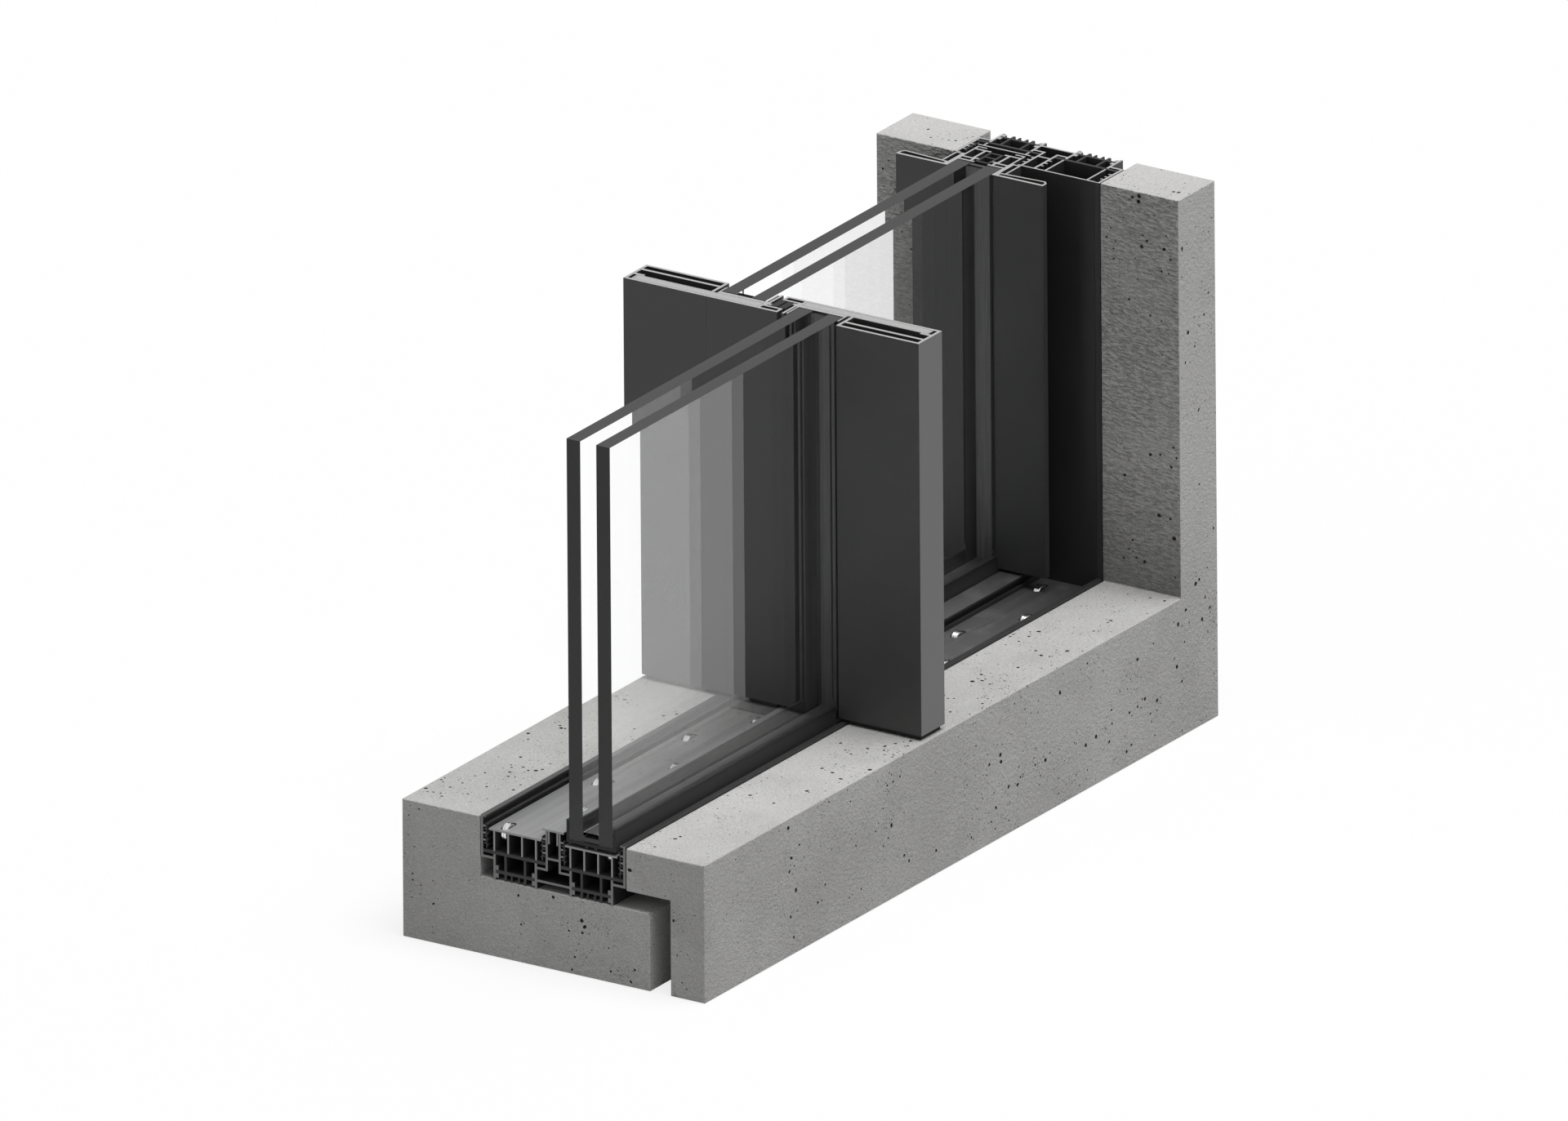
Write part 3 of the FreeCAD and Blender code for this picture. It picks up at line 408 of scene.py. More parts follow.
@dataclass(frozen=True)
class DullPlastic(Finish):
    """Black plastic or rubber with a faint moulded grain."""

    level: int
    rough: float
    grain: float = 1200.0

    def shade(self, nodes: Nodes) -> Socket:
        """Lays the nodes."""
        cut = nodes.cut_faces()
        skin = nodes.noise(self.grain, 3.0)
        bloom = nodes.noise(45.0, 3.0)
        colour = nodes.blend(bloom.between(0.3, 0.75), grey(self.level), grey(self.level + 7))
        pale = skin.between(0.5, 0.75, 0.0, 0.2) + cut * 0.12
        rough = bloom.spread(self.rough, self.rough + 0.12)
        return nodes.surface({
            "Base Color": nodes.blend(pale, colour, grey(self.level + 30)), "Roughness": rough,
            "Normal": nodes.bump(skin, 0.25, 0.0002)})


@dataclass(frozen=True)
class SpacerMetal(Finish):
    """Grey anodised spacer, pierced with two rows of breathing holes."""

    name: str = "spacer_metal"
    level: int = 96
    edge_highlight_level: int = 190
    edge_line: float = 6.05
    row: tuple[float, float] = (4.4, 5.0)
    pitch: float = 4.0

    def shade(self, nodes: Nodes) -> Socket:
        """Lays the nodes."""
        drawn = nodes.noise(70.0, 4.0, (0.3, 9.0, 0.3))
        colour = nodes.blend(drawn.between(0.35, 0.65), grey(self.level - 8), grey(self.level + 8))
        step = ((nodes.at("X") + nodes.at("Z")) * (1 / (self.pitch * MM))).fraction()
        off = (nodes.at("Y").size() - TRACK * MM).size()
        inward = nodes.facing("Y").size() < 0.5
        near, far = self.row
        hole = (off > near * MM) * (off < far * MM) * (step > 0.4) * (step < 0.6) * inward
        upward = nodes.facing("Z") > 0.5
        inside = nodes.at("X").between(-0.345, -0.3)
        edge = nodes.blend(inside, grey(self.edge_highlight_level), grey(self.level + 20))
        # Painted highlight on the top's two edge strips, brightest near the cut; painted shade on the
        # top between them and in the breathing holes.
        for share, shown in ((upward * (off > self.edge_line * MM), edge),
                             (upward * (off < self.edge_line * MM) * 0.6, grey(40)),
                             (hole * 0.25, grey(30))):
            colour = nodes.blend(share, colour, shown)
        return nodes.surface({
            "Base Color": colour, "Metallic": 0.4, "Roughness": drawn.spread(0.36, 0.48),
            "Normal": nodes.bump(drawn - hole, 0.3, 0.0001)})


@dataclass(frozen=True)
class PolishedSteel(Finish):
    """Ground and polished steel, faintly scored around."""

    name: str = "polished_roller_steel"
    bright: int = 236
    smeared: int = 188

    def shade(self, nodes: Nodes) -> Socket:
        """Lays the nodes."""
        score = nodes.noise(500.0, 3.0, (0.2, 8.0, 0.2))
        smear = nodes.noise(160.0, 3.0)
        colour = nodes.blend(smear.between(0.35, 0.7, 0.0, 0.5), grey(self.bright), grey(self.smeared))
        return nodes.surface({
            "Base Color": colour, "Metallic": 1.0, "Roughness": score.spread(0.12, 0.26),
            "Normal": nodes.bump(score, 0.15, 0.00005)})


@dataclass(frozen=True)
class PaneGlass(Finish):
    """Clear glass whose sawn edges are ground and dark."""

    name: str = "clear_pane_glass"
    edge_end: int = 41
    lit_edge_top: int = 48
    see_through: float = 0.1

    def shade(self, nodes: Nodes) -> Socket:
        """Lays the nodes."""
        clear = nodes.surface({"Base Color": (0.996, 0.999, 0.997, 1.0), "Roughness": 0.0,
                               "IOR": 1.48, "Transmission Weight": 1.0})
        tint = (0.96, 0.97, 0.965, 1.0)
        through = nodes.add("ShaderNodeBsdfTransparent", {}, {"Color": tint}).outputs[0]
        shadow = nodes.value("ShaderNodeLightPath", {}, {}, "Is Shadow Ray")
        sheet = nodes.mixed(shadow, clear, through)
        side = nodes.facing("Y").size() > 0.5
        upward = nodes.facing("Z") > 0.5
        ground = nodes.noise(1800.0, 2.0)
        # Painted light: the ground edges that look up are lighter than the sawn ends.
        colour = nodes.blend(upward, grey(self.edge_end), grey(self.lit_edge_top))
        colour = nodes.blend(ground.between(0.4, 0.7, 0.0, 0.2), colour, grey(self.edge_end - 14))
        edge = nodes.surface({
            "Base Color": colour, "Roughness": ground.spread(0.5, 0.62),
            "Normal": nodes.bump(ground, 0.2, 0.0001)})
        clouded = nodes.mixed(self.see_through, edge, sheet)
        return nodes.mixed(side, clouded, sheet)


@dataclass(frozen=True)
class PaleFloor(Finish):
    """The plain floor: white to the eye, and a softer grey to the light that bounces off it."""

    name: str = "studio_floor"
    glow: float = 0.8
    bounce: int = 165

    def shade(self, nodes: Nodes) -> Socket:
        """Lays the nodes."""
        glow = nodes.add("ShaderNodeEmission", {}, {"Color": grey(255), "Strength": 1.0}).outputs[0]
        pale = nodes.add("ShaderNodeBsdfDiffuse", {}, {"Color": grey(255)}).outputs[0]
        dull = nodes.add("ShaderNodeBsdfDiffuse", {}, {"Color": grey(self.bounce)}).outputs[0]
        return nodes.mixed(nodes.seen(), dull, nodes.mixed(self.glow, pale, glow))


def built(finish: Finish) -> Material:
    """A field that holds the finish as a built material."""
    return field(default_factory=finish.build)


@dataclass(frozen=True)
class Finishes:
    """The materials of the sample, each built once and shared by its pieces."""

    concrete: Material = built(Concrete())
    blow_hole: Material = built(BlowHole())
    # The third level is the sawn ends' colour, darker than the sawn tops as painted shade.
    frame: Material = built(CoatedMetal("coated_frame_metal", 46, 205, 112))
    flange: Material = built(CoatedMetal("coated_flange_metal", 55, 205, 112))
    sash: Material = built(CoatedMetal("coated_sash_metal", 58, 205, 112))
    # tip: painted light on the blade's outermost strips.
    blade: Material = built(CoatedMetal("coated_blade_metal", 58, 205, 112, tip=108))
    # foot: painted light on the rail's lowest band.
    rail: Material = built(CoatedMetal("coated_rail_metal", 24, 60, 40, foot=58, rough=0.6))
    bar: Material = built(CoatedMetal("bar_aluminium", 190, 200, 150))
    deck: Material = built(RunningDeck())
    spacer: Material = built(SpacerMetal())
    roller: Material = built(PolishedSteel())
    glass: Material = built(PaneGlass())
    plastic: Material = built(DullPlastic("black_polyamide", 30, 0.55))
    rubber: Material = built(DullPlastic("black_rubber", 24, 0.7, 700.0))
    comb: Material = built(DullPlastic("comb_rubber", 38, 0.6, 700.0))
    fibre: Material = built(DullPlastic("brush_fibre", 26, 0.85, 3000.0))
    sealant: Material = built(DullPlastic("grey_edge_sealant", 64, 0.6, 900.0))


# Shape helpers


class Shape:
    """A mesh in the making, worked in metres."""

    def __init__(self) -> None:
        """Starts empty."""
        self.bm = bmesh.new()

    def outline(self, corners: Outline, way: Ways, start: float) -> bmesh.types.BMFace:
        """Draws an outline as one face.

        Args:
            corners: the outline, (across, up) along the slide and (along, across) upwards.
            way: which way it will be extruded.
            start: where it lies on that way, in working millimetres.

        Returns:
            The face.
        """
        if way is Ways.ALONG:
            points = [place(start, first, second) for first, second in corners]
        else:
            points = [place(first, second, start) for first, second in corners]
        return self.bm.faces.new([self.bm.verts.new(point) for point in points])

    def push(self, faces: list[bmesh.types.BMFace], way: Ways, length: float) -> None:
        """Extrudes faces by so many millimetres."""
        grown = bmesh.ops.extrude_face_region(self.bm, geom=faces)["geom"]
        ends = [item for item in grown if isinstance(item, bmesh.types.BMVert)]
        bmesh.ops.translate(self.bm, verts=ends, vec=Vector(way.value) * (length * MM))

    def section(self, corners: Outline, way: Ways, start: float, length: float) -> None:
        """Draws an outline and extrudes it into a solid from start on, by a length in millimetres."""
        self.push([self.outline(corners, way, start)], way, length)

    def tube(self, corners: Outline, way: Ways, start: float, length: float, wall: float) -> None:
        """Does what section() does, for a hollow bar with open ends and a wall in millimetres."""
        face = self.outline(corners, way, start)
        ring = bmesh.ops.inset_region(self.bm, faces=[face], thickness=wall * MM, use_boundary=True,
                                      use_even_offset=True)["faces"]
        bmesh.ops.delete(self.bm, geom=[face], context="FACES_ONLY")
        self.push(ring, way, length)

    def block(self, along: tuple[float, float], across: tuple[float, float],
              up: tuple[float, float]) -> None:
        """A box.

        Args:
            along: its two ends along the slide, in working millimetres.
            across: its two sides across the wall, in either order.
            up: its underside and its top.
        """
        low = place(along[0], min(across), up[0])
        high = place(along[1], max(across), up[1])
        matrix = Matrix.Translation((low + high) / 2) @ Matrix.Diagonal((*(high - low), 1.0))
        bmesh.ops.create_cube(self.bm, size=1.0, matrix=matrix)

    def ease(self, edges: list[bmesh.types.BMEdge], width: float, segments: int = 2) -> None:
        """Rounds edges by a width in metres, with so many facets."""
        bmesh.ops.bevel(self.bm, geom=edges, offset=width, offset_type="OFFSET", segments=segments,
                        profile=0.5, affect="EDGES", material=-1, clamp_overlap=True)

    def sharp_edges(self, least: float = 0.5) -> list[bmesh.types.BMEdge]:
        """The edges whose faces meet at more than an angle, in radians."""
        return [edge for edge in self.bm.edges
                if edge.is_manifold and edge.calc_face_angle(0.0) > least]

    def lathe(self, profile: Outline, centre: Vector, steps: int) -> None:
        """Spins an open profile about an axis that lies across the wall.

        Args:
            profile: (across, radius) in millimetres from the centre, from one side to the other.
            centre: the middle of the spun piece, in metres.
            steps: facets around.
        """
        verts = [self.bm.verts.new(centre + Vector((0, across * MM, radius * MM)))
                 for across, radius in profile]
        edges = [self.bm.edges.new(pair) for pair in zip(verts, verts[1:])]
        bmesh.ops.spin(self.bm, geom=verts + edges, cent=centre, axis=(0, 1, 0), angle=math.tau,
                       steps=steps, use_merge=True)

    def tidy(self) -> None:
        """Merges doubles and turns every face outwards."""
        bmesh.ops.remove_doubles(self.bm, verts=self.bm.verts, dist=1e-7)
        bmesh.ops.recalc_face_normals(self.bm, faces=self.bm.faces)

    def mesh(self, name: str, smooth: float = 0.6) -> bpy.types.Mesh:
        """Ends the work and gives the mesh.

        Args:
            name: the mesh's name.
            smooth: edges that meet at a smaller angle are shaded round, in radians.

        Returns:
            The mesh.
        """
        for face in self.bm.faces:
            face.smooth = True
        for edge in self.bm.edges:
            edge.smooth = edge.is_manifold and edge.calc_face_angle(0.0) < smooth
        mesh = bpy.data.meshes.new(name)
        self.bm.to_mesh(mesh)
        self.bm.free()
        return mesh

    def finish(self, name: str, finish: Material, slot: str, replaces: tuple[str, ...] = (),
               smooth: float = 0.6) -> None:
        """Puts the piece on the sample, as mesh() and add_piece() say."""
        add_piece(name, self.mesh(name, smooth), finish, replaces)


def put(name: str, data: bpy.types.ID) -> bpy.types.Object:
    """Makes an object of a mesh, a lamp or a camera and puts it in the scene."""
    item = bpy.data.objects.new(name, data)
    bpy.context.scene.collection.objects.link(item)
    return item


def add_piece(name: str, mesh: bpy.types.Mesh, finish: Material,
              replaces: tuple[str, ...] = ()) -> None:
    """Puts a finished mesh on the sample.

    Args:
        name: the piece's name.
        mesh: its mesh, with its place in it.
        finish: its material.
        replaces: the CAD nodes that it stands for.
    """
    mesh.materials.clear()
    mesh.materials.append(finish)
    piece = put(name, mesh)
    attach(piece, "root")
    if replaces:
        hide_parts(*replaces)
    log.info("piece %s: %d faces", name, len(mesh.polygons))


def dress(node: str, finish: Material) -> None:
    """Gives a CAD node its material."""
    target = frame["nodes"][node]
    target.data.materials.clear()
    target.data.materials.append(finish)
    log.info("dressed %s", node)


# Sub-assemblies


@dataclass
class Assembly:
    """A part of the sample that is dressed and given its fine pieces together."""

    finishes: Finishes


@dataclass
class ConcreteWall(Assembly):
    """The two cast concrete parts, with eased arrises and real blow holes."""

    half: float = DEPTH / 2
    ledge: float = 64.0
    recess: float = 47.4
    floor_end: float = -84.6
    shelf: float = 33.3
    downstand: float = 30.0
    back: float = 49.8
    arris: float = 0.7
    facet: float = 3e-6
    square: float = 0.995
    margin: float = 3.0
    apart: float = 0.25
    clustered: float = 0.72
    radii: tuple[float, ...] = (0.4, 0.4, 0.4, 0.5, 0.5, 0.6, 0.6, 0.7, 0.8, 1.0, 1.3, 1.7)
    seed: int = 11

    def blank(self, side: int) -> Shape:
        """Casts one part without its holes.

        Args:
            side: 1 for the inner part, -1 for the outer one.

        Returns:
            The cast shape.
        """
        if side > 0:
            corners = [(self.half, -DROP), (self.half, 0), (self.ledge, 0), (self.ledge, -self.recess),
                       (self.floor_end, -self.recess), (self.floor_end, -DROP)]
        else:
            inside = -self.half + self.downstand
            corners = [(-self.ledge, 0), (-self.half, 0), (-self.half, -DROP), (inside, -DROP),
                       (inside, -self.shelf), (-self.ledge, -self.shelf)]
        shape = Shape()
        shape.section(corners, Ways.ALONG, 0.0, LENGTH)
        shape.tidy()
        split = place(LENGTH - self.back, 0, 0)
        whole = shape.bm.verts[:] + shape.bm.edges[:] + shape.bm.faces[:]
        bmesh.ops.bisect_plane(shape.bm, geom=whole, plane_co=split, plane_no=(1, 0, 0))
        top = [face for face in shape.bm.faces
               if face.normal.z > FACING and face.calc_center_median().x > split.x
               and face.calc_center_median().z > place(0, 0, -1).z]
        shape.push(top, Ways.UP, CUT)
        bmesh.ops.delete(shape.bm, geom=[face for face in top if face.is_valid], context="FACES_ONLY")
        shape.tidy()
        bmesh.ops.dissolve_limit(shape.bm, angle_limit=0.01, verts=shape.bm.verts, edges=shape.bm.edges)
        shape.ease(shape.sharp_edges(), self.arris * MM, 2)
        return shape

    def spots(self, side: int, chance: random.Random) -> Holes:
        """Chooses where the blow holes are.

        Args:
            side: 1 for the inner part, -1 for the outer one.
            chance: the seeded source of choices.

        Returns:
            Place, outward direction and radius of each hole.
        """
        high, low = side * self.half, side * self.ledge
        inside = LENGTH - self.back
        sawn, upward, outward = Vector((-1, 0, 0)), Vector((0, 0, 1)), Vector((0, side, 0))
        faces = [
            (place(6, low, 0), place(inside - 4, high, 0), upward, 420),
            (place(4, high, -DROP), place(LENGTH - 4, high, 0), outward, 330),
            (place(inside, high, 0), place(LENGTH, high, CUT), outward, 90),
            (place(inside, low, 4), place(inside, high, CUT), sawn, 130),
            (place(0, low, -self.shelf), place(0, high, 0), sawn, 14),
            (place(LENGTH, low, -self.shelf), place(LENGTH, high, CUT), -sawn, 130),
            (place(inside, low, CUT), place(LENGTH, high, CUT), upward, 40),
            (place(inside, low, 8), place(LENGTH, low, CUT), -outward, 26),
        ]
        if side > 0:
            foot = (place(0, self.floor_end, -DROP), place(0, high, -self.recess), sawn, 80)
        else:
            foot = (place(0, high, -DROP), place(0, high + self.downstand, -self.shelf), sawn, 26)
        chosen: Holes = []
        for first, second, way, count in [*faces, foot]:
            chosen += self.scatter(first, second, way, count, chance, chosen)
        return chosen

    def scatter(self, first: Vector, second: Vector, outward: Vector, count: int, chance: random.Random,
                taken: Holes) -> Holes:
        """Scatters blow holes over one face, in loose clusters.

        Args:
            first: one corner of the face.
            second: the opposite corner.
            outward: the way that the face looks.
            count: how many to try.
            chance: the seeded source of choices.
            taken: holes that are already chosen.

        Returns:
            Place, outward direction and radius of each new hole.
        """
        margin = self.margin * MM
        low = Vector([min(first[i], second[i]) for i in range(3)])
        high = Vector([max(first[i], second[i]) for i in range(3)])
        pick = [i for i in range(3) if abs(outward[i]) < 0.5]
        centres = [Vector([chance.uniform(low[i], high[i]) for i in range(3)])
                   for _ in range(max(2, count // 16))]
        new: Holes = []
        for _ in range(count):
            radius = chance.choice(self.radii) * chance.uniform(0.8, 1.15) * MM
            spot = Vector([chance.uniform(low[i], high[i]) for i in range(3)])
            if chance.random() < self.clustered:
                middle = chance.choice(centres)
                for i in pick:
                    spot[i] = chance.gauss(middle[i], chance.choice((4, 9, 16)) * MM)
            if any(not low[i] + margin < spot[i] < high[i] - margin for i in pick):
                continue
            least = radius + self.apart * MM
            if any((spot - other).length < least + rest for other, _, rest in taken + new):
                continue
            new.append((spot, outward, radius))
        return new

    def holes(self, spots: Holes, chance: random.Random) -> bpy.types.Mesh:
        """Makes the bodies that are cut out as blow holes.

        Args:
            spots: place, outward direction and radius of each hole.
            chance: the seeded source of choices.

        Returns:
            One mesh with every hole.
        """
        shape = Shape()
        for spot, outward, radius in spots:
            turn = outward.to_track_quat("Z", "Y").to_matrix().to_4x4()
            spin = Matrix.Rotation(chance.uniform(0, math.tau), 4, "Z")
            squash = Matrix.Diagonal((radius, radius * chance.uniform(0.65, 1.0), radius * 0.7, 1.0))
            matrix = Matrix.Translation(spot - outward * radius * 0.12) @ turn @ spin @ squash
            fine = 2 if radius > 0.9 * MM else 1
            made = bmesh.ops.create_icosphere(shape.bm, subdivisions=fine, radius=1.0, matrix=matrix)
            for vert in made["verts"]:
                vert.co += (vert.co - spot) * chance.uniform(-0.1, 0.12)
        return shape.mesh("blow_holes")

    def pierced(self, blank: bpy.types.Mesh, holes: bpy.types.Mesh) -> bpy.types.Mesh:
        """Takes the blow holes out of a cast part.

        Args:
            blank: the part without its holes.
            holes: the bodies that are cut out.

        Returns:
            The part's mesh.
        """
        cast, cutter = put("cast", blank), put("cutter", holes)
        modifier = cast.modifiers.new("blow_holes", "BOOLEAN")
        modifier.operation = "DIFFERENCE"
        modifier.solver = "MANIFOLD"
        modifier.object = cutter
        evaluated = cast.evaluated_get(bpy.context.evaluated_depsgraph_get())
        mesh = bpy.data.meshes.new_from_object(evaluated)
        for item in (cast, cutter):
            bpy.data.objects.remove(item)
        return mesh

    def build(self) -> None:
        """Casts and dresses both parts."""
        for side, name in SIDES:
            chance = random.Random(self.seed + side)
            blank = self.blank(side).mesh("cast")
            mesh = self.pierced(blank, self.holes(self.spots(side, chance), chance))
            node = f"{name}_concrete"
            mesh.name = f"cast_{node}"
            add_piece(mesh.name, mesh, self.finishes.concrete, (node,))
            mesh.materials.append(self.finishes.blow_hole)
            # The small slanted facets inside the blow holes take the second material, whose darker
            # colour is painted shade.
            for face in mesh.polygons:
                face.use_smooth = face.area < self.facet
                slanted = max(map(abs, face.normal)) < self.square
                face.material_index = 1 if face.use_smooth and slanted else 0


@dataclass
class FixedFrame(Assembly):
    """The extrusions, thermal blocks and covers of sill and jamb, with combs and sealing joints."""

    joint: float = 0.5
    joint_top: float = -0.6
    joint_depth: float = 31.0
    face: float = 64.0
    wall: float = 61.5
    rail: float = 6.6
    jamb: float = 650.0
    sill_end: float = LENGTH - 49.9
    jamb_joint: tuple[float, float] = (650.4, 680.0)
    spine: tuple[float, float] = (2.55, 3.35)
    comb_reach: float = 4.7
    comb_foot: float = 24.2
    wall_teeth: tuple[float, ...] = (9.4, 14.9, 20.4)
    free_teeth: tuple[float, ...] = (22.0, 17.5, 13.0)

    def build(self) -> None:
        """Dresses the frame, pushes in its combs and lays its sealing joints."""
        metal, deck = self.finishes.frame, self.finishes.deck
        for run in ("sill", "jamb"):
            dress(f"{run}_middle_rail", metal)
            for _, name in SIDES:
                dress(f"{run}_{name}_flange", self.finishes.flange)
                dress(f"{run}_{name}_thermal_block", self.finishes.plastic)
        for node, finish in (("sill_inner_deck", deck), ("sill_outer_deck", deck),
                             ("sill_rail_cap", deck), ("jamb_inner_deck", metal),
                             ("jamb_outer_filler", metal)):
            dress(node, finish)
        self.sealing()
        self.combs()

    def comb_outline(self, head: bool) -> Outline:
        """Section of a comb, in millimetres from the frame's wall and below the concrete's top.

        Args:
            head: whether it ends in a flat head below the frame's lip.
        """
        near, far = self.spine
        reach = self.comb_reach
        outline = [(near, 4.9)]
        for depth in self.wall_teeth:
            outline += [(near, depth - 1.0), (0.5, depth - 0.2), (0.7, depth + 0.5),
                        (near, depth + 0.7)]
        outline += [(near, self.comb_foot), (far, self.comb_foot)]
        for depth in self.free_teeth:
            outline += [(far, depth + 0.8), (reach, depth - 0.9), (reach - 0.4, depth - 1.5),
                        (far, depth - 0.5)]
        if head:
            return outline + [(far, 5.4), (reach, 5.2), (reach - 0.1, 4.2), (near + 0.1, 4.2)]
        return outline + [(far, 4.9)]

    def combs(self) -> None:
        """Pushes the combs onto the ribs of sill and jamb."""
        headed, plain = self.comb_outline(True), self.comb_outline(False)
        for side, name in SIDES:
            shape = Shape()
            flange = [(side * (self.wall - out), -depth) for out, depth in headed]
            rail = [(side * (self.rail + out), -depth) for out, depth in plain]
            for corners in (flange, rail):
                shape.section(corners, Ways.ALONG, 0.3, self.jamb - 1.5)
            if side > 0:
                upright = [(self.jamb + depth, side * (self.wall - out)) for out, depth in headed]
                shape.section(upright, Ways.UP, 0.5, CUT - 0.8)
            shape.tidy()
            shape.finish(f"frame_combs_{name}", self.finishes.comb, "seal_rubber", smooth=0.2)

    def sealing(self) -> None:
        """Fills the narrow joint between frame and concrete, a little below its surface."""
        for side, name in SIDES:
            shape = Shape()
            across = (side * (self.face - self.joint), side * self.face)
            shape.block((0.2, self.sill_end), across, (-self.joint_depth, self.joint_top))
            shape.block(self.jamb_joint, across, (0.2, CUT - 0.5))
            shape.finish(f"sealing_joint_{name}", self.finishes.rubber, "seal_rubber")


@dataclass
class RollerTrack(Assembly):
    """The turned rollers of both tracks, each a wheel with a groove, a hub and an axle."""

    row: float = 12.2
    radius: float = 7.0
    width: float = 4.8
    axle_reach: float = 5.3
    axle: float = 1.5
    hub: float = 2.8
    recess: float = 0.4
    recess_span: tuple[float, float] = (3.4, 5.0)
    corner: float = 0.5
    groove: float = 0.35
    top: float = -5.3
    first: float = 10.5
    pitch: float = 56.0
    count: int = 12
    leads: tuple[float, float] = (0.0, 3.0)

    def outline(self) -> Outline:
        """The section of a roller, from one end of its axle to the other."""
        half, rim, axle, hub = self.width / 2, self.radius, self.axle, self.hub
        low, high = self.recess_span
        left = [(-self.axle_reach, 0.02), (-self.axle_reach, axle - 0.2), (0.2 - self.axle_reach, axle),
                (-half - self.corner, axle), (-half - self.corner, hub - 0.2), (-half, hub),
                (-half, low), (self.recess - half, low + 0.2), (self.recess - half, high - 0.2),
                (-half, high), (-half, rim - self.corner), (self.corner - half, rim),
                (-0.5, rim), (-0.3, rim - self.groove)]
        return left + [(-across, radius) for across, radius in reversed(left)]

    def build(self) -> None:
        """Turns the rollers of both tracks."""
        for (side, name), lead in zip(SIDES, self.leads):
            shape = Shape()
            for index in range(self.count):
                row = self.row if index % 2 == 0 else -self.row
                along = self.first + lead + index * self.pitch
                centre = place(along, side * (TRACK + row), self.top - self.radius)
                shape.lathe(self.outline(), centre, 32)
            shape.tidy()
            shape.finish(f"turned_rollers_{name}", self.finishes.roller, "roller_steel",
                         (f"sill_{name}_rollers",))


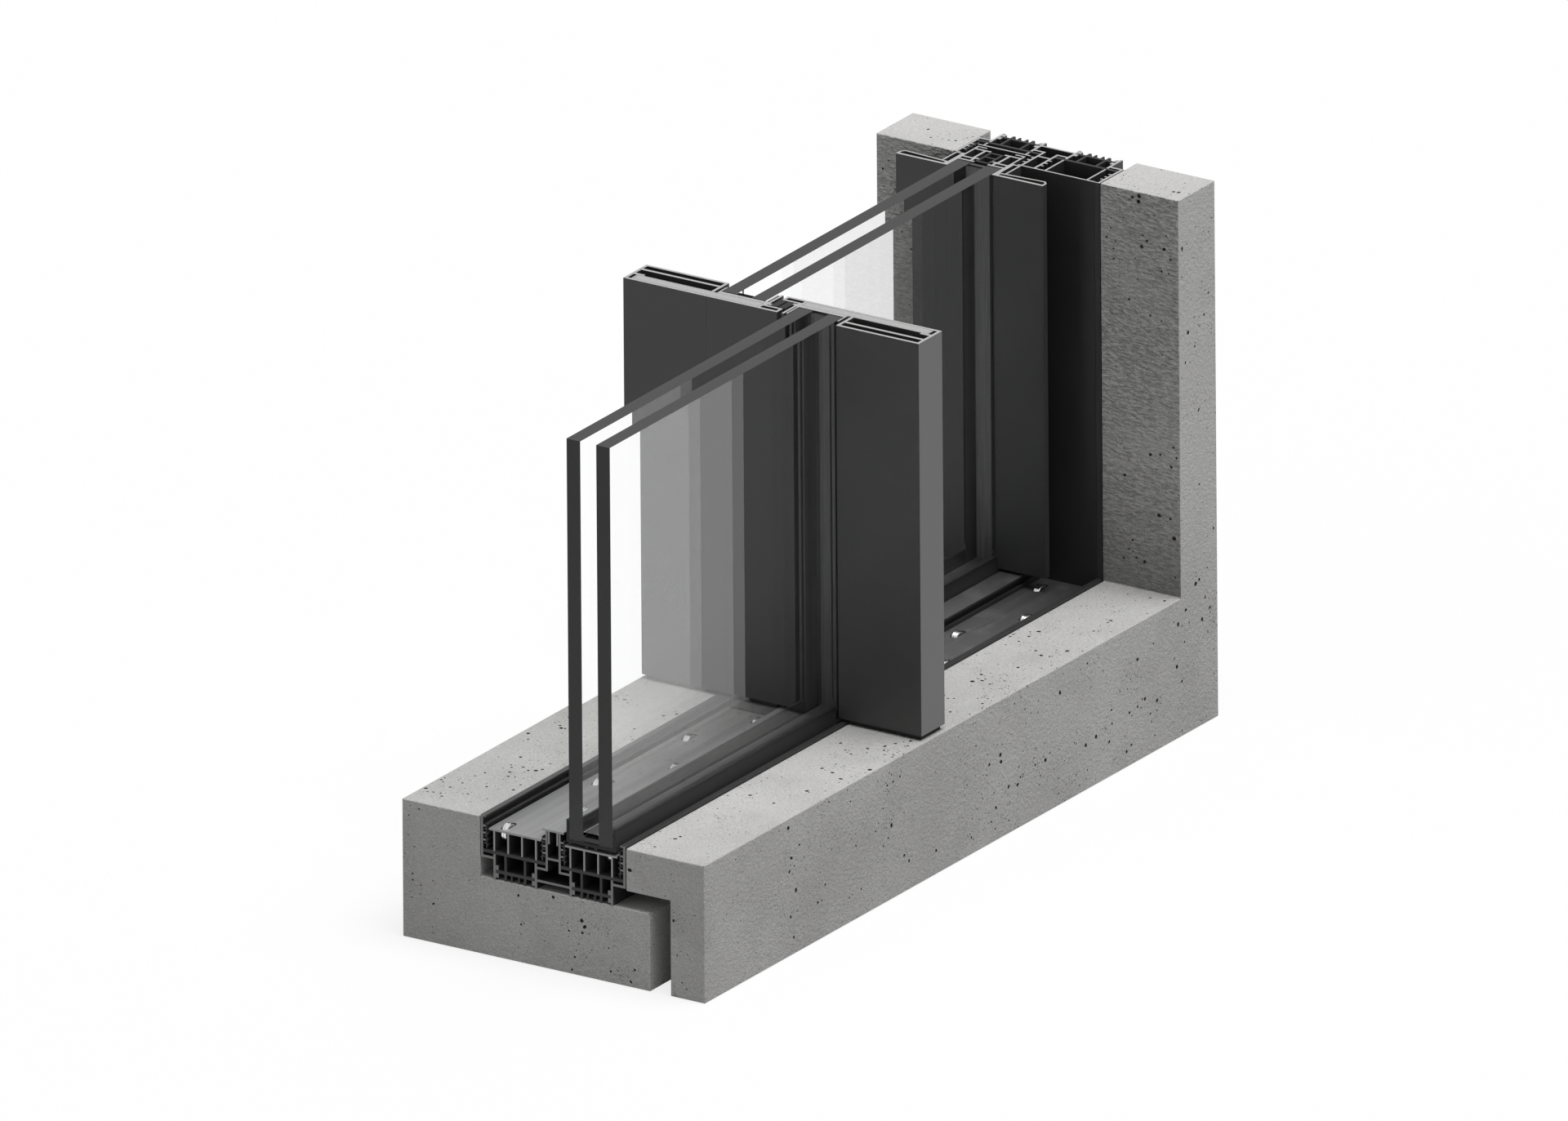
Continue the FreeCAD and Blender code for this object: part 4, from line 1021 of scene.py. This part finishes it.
@dataclass
class Sash(Assembly):
    """One sliding sash: panes, spacer, rail, meeting stile, blade, seals and pull."""

    side: int
    gap_half: float = 7.0
    pane: float = 12.0
    floor: float = -2.2
    edge: float = 0.5
    rise: float = 4.2
    bar_height: float = 3.8
    upright: float = 3.0
    wall: float = 0.6
    easing: float = 0.7
    bedding: float = 0.4
    play: float = 0.02
    lip: float = 1.8
    lip_foot: float = 6.0
    lip_top: float = 11.6

    @property
    def name(self) -> str:
        """Which sash it is."""
        return "inner" if self.side > 0 else "outer"

    @property
    def middle(self) -> float:
        """The middle of its glazing across the wall, in working millimetres."""
        return self.side * TRACK

    @property
    def span(self) -> tuple[float, float]:
        """Where the glass starts and ends along the slide, in working millimetres."""
        return (315.5, 635.0) if self.side > 0 else (0.0, 316.5)

    @property
    def clear(self) -> tuple[float, float]:
        """Where the glass shows between the stiles, in working millimetres."""
        return (332.3, 621.0) if self.side > 0 else (0.3, 299.8)

    @property
    def lips(self) -> list[tuple[float, int, tuple[int, ...]]]:
        """Place, direction and sides of each lip between pane and stile."""
        start, end = self.clear
        if self.side > 0:
            return [(start, 1, (1,)), (end, -1, (1, -1))]
        return [(end, -1, (-1,))]

    def build(self) -> None:
        """Dresses the sash and adds its fine pieces."""
        looks = self.finishes
        for node, finish in (
                ("sash_inner_pane", looks.glass), ("sash_outer_pane", looks.glass),
                ("sash_bottom_rail", looks.rail), ("meeting_stile", looks.sash),
                ("finger_pull", looks.sash), ("blade", looks.blade), ("stiffening_bar", looks.bar),
                ("meeting_seal", looks.rubber), ("track_brush", looks.fibre),
                ("blade_brush", looks.fibre)):
            dress(f"{self.name}_{node}", finish)
        self.glazing_seals()
        self.spacer_bars()
        self.edge_seal()

    def ends(self, inset: float) -> tuple[float, float]:
        """Where the spacer or its seal starts and ends, with its inset at the lock stile."""
        start, end = self.span
        if self.side > 0:
            return start + self.edge, end - inset
        return start, end - self.edge

    def spacer_bars(self) -> None:
        """Lays the hollow spacer between the panes and its black bedding on both panes."""
        bottom = self.floor + self.rise
        top = bottom + self.bar_height
        first, last = self.ends(self.rise)
        wide, easing = self.gap_half - self.bedding, self.easing
        low, high = self.middle - wide, self.middle + wide
        bars, beds = Shape(), Shape()
        corners = [(low, bottom + easing), (low + easing, bottom), (high - easing, bottom),
                   (high, bottom + easing), (high, top), (low, top)]
        bars.tube(corners, Ways.ALONG, first, last - first, self.wall)
        uprights = [(last - self.upright, last)]
        if self.side > 0:
            uprights.append((first, first + self.upright))
        for near, far in uprights:
            corners = [(near, low), (far, low), (far, high), (near, high)]
            bars.tube(corners, Ways.UP, top, CUT - top, self.wall)
        for hand in (1, -1):
            across = (self.middle + hand * wide, self.middle + hand * (self.gap_half - self.play))
            for near, far in uprights:
                beds.block((near + 0.3, far), across, (top, CUT - 0.1))
            beds.block((first + 0.1, last), across, (bottom + 0.4, top - 0.3))
        bars.tidy()
        bars.finish(f"spacer_bars_{self.name}", self.finishes.spacer, "spacer",
                    (f"{self.name}_sash_spacer",))
        beds.finish(f"spacer_bedding_{self.name}", self.finishes.sealant, "seal_rubber")

    def edge_seal(self) -> None:
        """Fills the trough round the spacer with its black edge seal."""
        first, last = self.ends(0.2)
        half, top = self.gap_half - self.play, self.floor + self.rise
        across = (self.middle - half, self.middle + half)
        shape = Shape()
        shape.block((first + 0.3, last), across, (self.floor + 0.5, top - self.play))
        if self.side > 0:
            shape.block((last - self.rise + 0.25, last), across, (top, CUT - 0.4))
        shape.ease(shape.sharp_edges(), 0.15 * MM, 1)
        shape.finish(f"edge_seal_{self.name}", self.finishes.sealant, "seal_rubber")

    def glazing_seals(self) -> None:
        """Lays the thin lips that close the joint between pane and rail or stile."""
        start, end = self.clear
        shape = Shape()
        for hand in (1, -1):
            face = self.middle + hand * (self.gap_half + self.pane)
            near, far = face + hand * 0.05, face + hand * 0.45
            corners = [(near, self.lip_top), (far, self.lip_top - 0.6), (far, self.lip_foot),
                       (near, self.lip_foot)]
            shape.section(corners, Ways.ALONG, start, end - start)
        for line, way, hands in self.lips:
            for hand in hands:
                face = self.middle + hand * (self.gap_half + self.pane)
                tip, near = line + way * self.lip, face + hand * 0.03
                corners = [(line, near), (tip, near), (line + way * self.lip * 0.7, face + hand * 0.45),
                           (line, face + hand * 0.6)]
                shape.section(corners, Ways.UP, 18.4, CUT - 18.8)
        shape.tidy()
        shape.finish(f"glazing_seals_{self.name}", self.finishes.rubber, "seal_rubber")


@dataclass
class LockStile(Assembly):
    """The closing stile of the inner sash."""

    def build(self) -> None:
        """Dresses its two halves and the bridge between them."""
        for _, name in SIDES:
            dress(f"lock_stile_{name}_half", self.finishes.sash)
        dress("lock_stile_bridge", self.finishes.plastic)


@dataclass
class Studio:
    """Floor, soft light and the camera that sees the sample as the picture does."""

    ambient: float = 0.39
    key: float = 2.2
    key_from: tuple[float, float, float] = (0.02, -0.27, 0.96)
    key_spread: float = 38.0
    right: tuple[float, float, float] = (0.54464, -0.83867, 0.0)
    upward: tuple[float, float, float] = (0.30055, 0.19518, 0.93358)
    back: tuple[float, float, float] = (-0.78297, -0.50847, 0.35836)
    roll: float = -0.41
    shift: tuple[float, float] = (0.05908, 0.22571)
    view_width: float = 1.1563
    distance: float = 2.5

    def build(self) -> None:
        """Lays the floor, hangs the lights and places the camera."""
        self.lay_floor()
        self.light()
        self.camera()

    def lay_floor(self) -> None:
        """Lays a wide plain floor under the sample."""
        shape = Shape()
        bmesh.ops.create_grid(shape.bm, x_segments=1, y_segments=1, size=12.0)
        bmesh.ops.translate(shape.bm, verts=shape.bm.verts, vec=(0, 0, -0.0004))
        mesh = shape.mesh("studio_floor")
        mesh.materials.append(PaleFloor().build())
        floor = put("studio_floor", mesh)

    def light(self) -> None:
        """Sets a pale sky all round and one wide soft lamp above."""
        world = bpy.data.worlds.new("studio")
        bpy.context.scene.world = world
        nodes = Nodes(world)
        strength = nodes.seen().between(0.0, 1.0, self.ambient, 1.0)
        nodes.done(nodes.add("ShaderNodeBackground", {}, {"Strength": strength}).outputs[0])
        lamp = bpy.data.lights.new("soft_key", "SUN")
        lamp.energy = self.key
        lamp.angle = math.radians(self.key_spread)
        holder = put("soft_key", lamp)
        holder.rotation_mode = "QUATERNION"
        holder.rotation_quaternion = Vector(self.key_from).to_track_quat("Z", "Y")

    def camera(self) -> None:
        """Places the camera along the picture's own direction, without perspective."""
        right, upward, back = Vector(self.right), Vector(self.upward), Vector(self.back)
        roll = math.radians(self.roll)
        across = right * math.cos(roll) + upward * math.sin(roll)
        up = upward * math.cos(roll) - right * math.sin(roll)
        corner = Vector((-LENGTH / 2, -DEPTH / 2, DROP)) * MM
        middle = across * (self.shift[0] + corner.dot(across)) + up * (self.shift[1] + corner.dot(up))
        turn = Matrix((across, up, back)).transposed().to_4x4()
        lens = bpy.data.cameras.new("view")
        lens.type = "ORTHO"
        lens.ortho_scale = self.view_width
        lens.clip_end = 20.0
        holder = put("view", lens)
        holder.matrix_world = Matrix.Translation(middle + back * self.distance) @ turn
        bpy.context.scene.camera = holder


def main() -> None:
    """Builds and dresses the sample, piece by piece."""
    logging.basicConfig(level=logging.INFO, format="%(name)s: %(message)s")
    bpy.context.scene.view_settings.view_transform = "Standard"
    finishes = Finishes()
    for part in (ConcreteWall(finishes), FixedFrame(finishes), RollerTrack(finishes),
                 Sash(finishes, 1), Sash(finishes, -1), LockStile(finishes)):
        part.build()
    Studio().build()


if __name__ == "__main__":
    main()
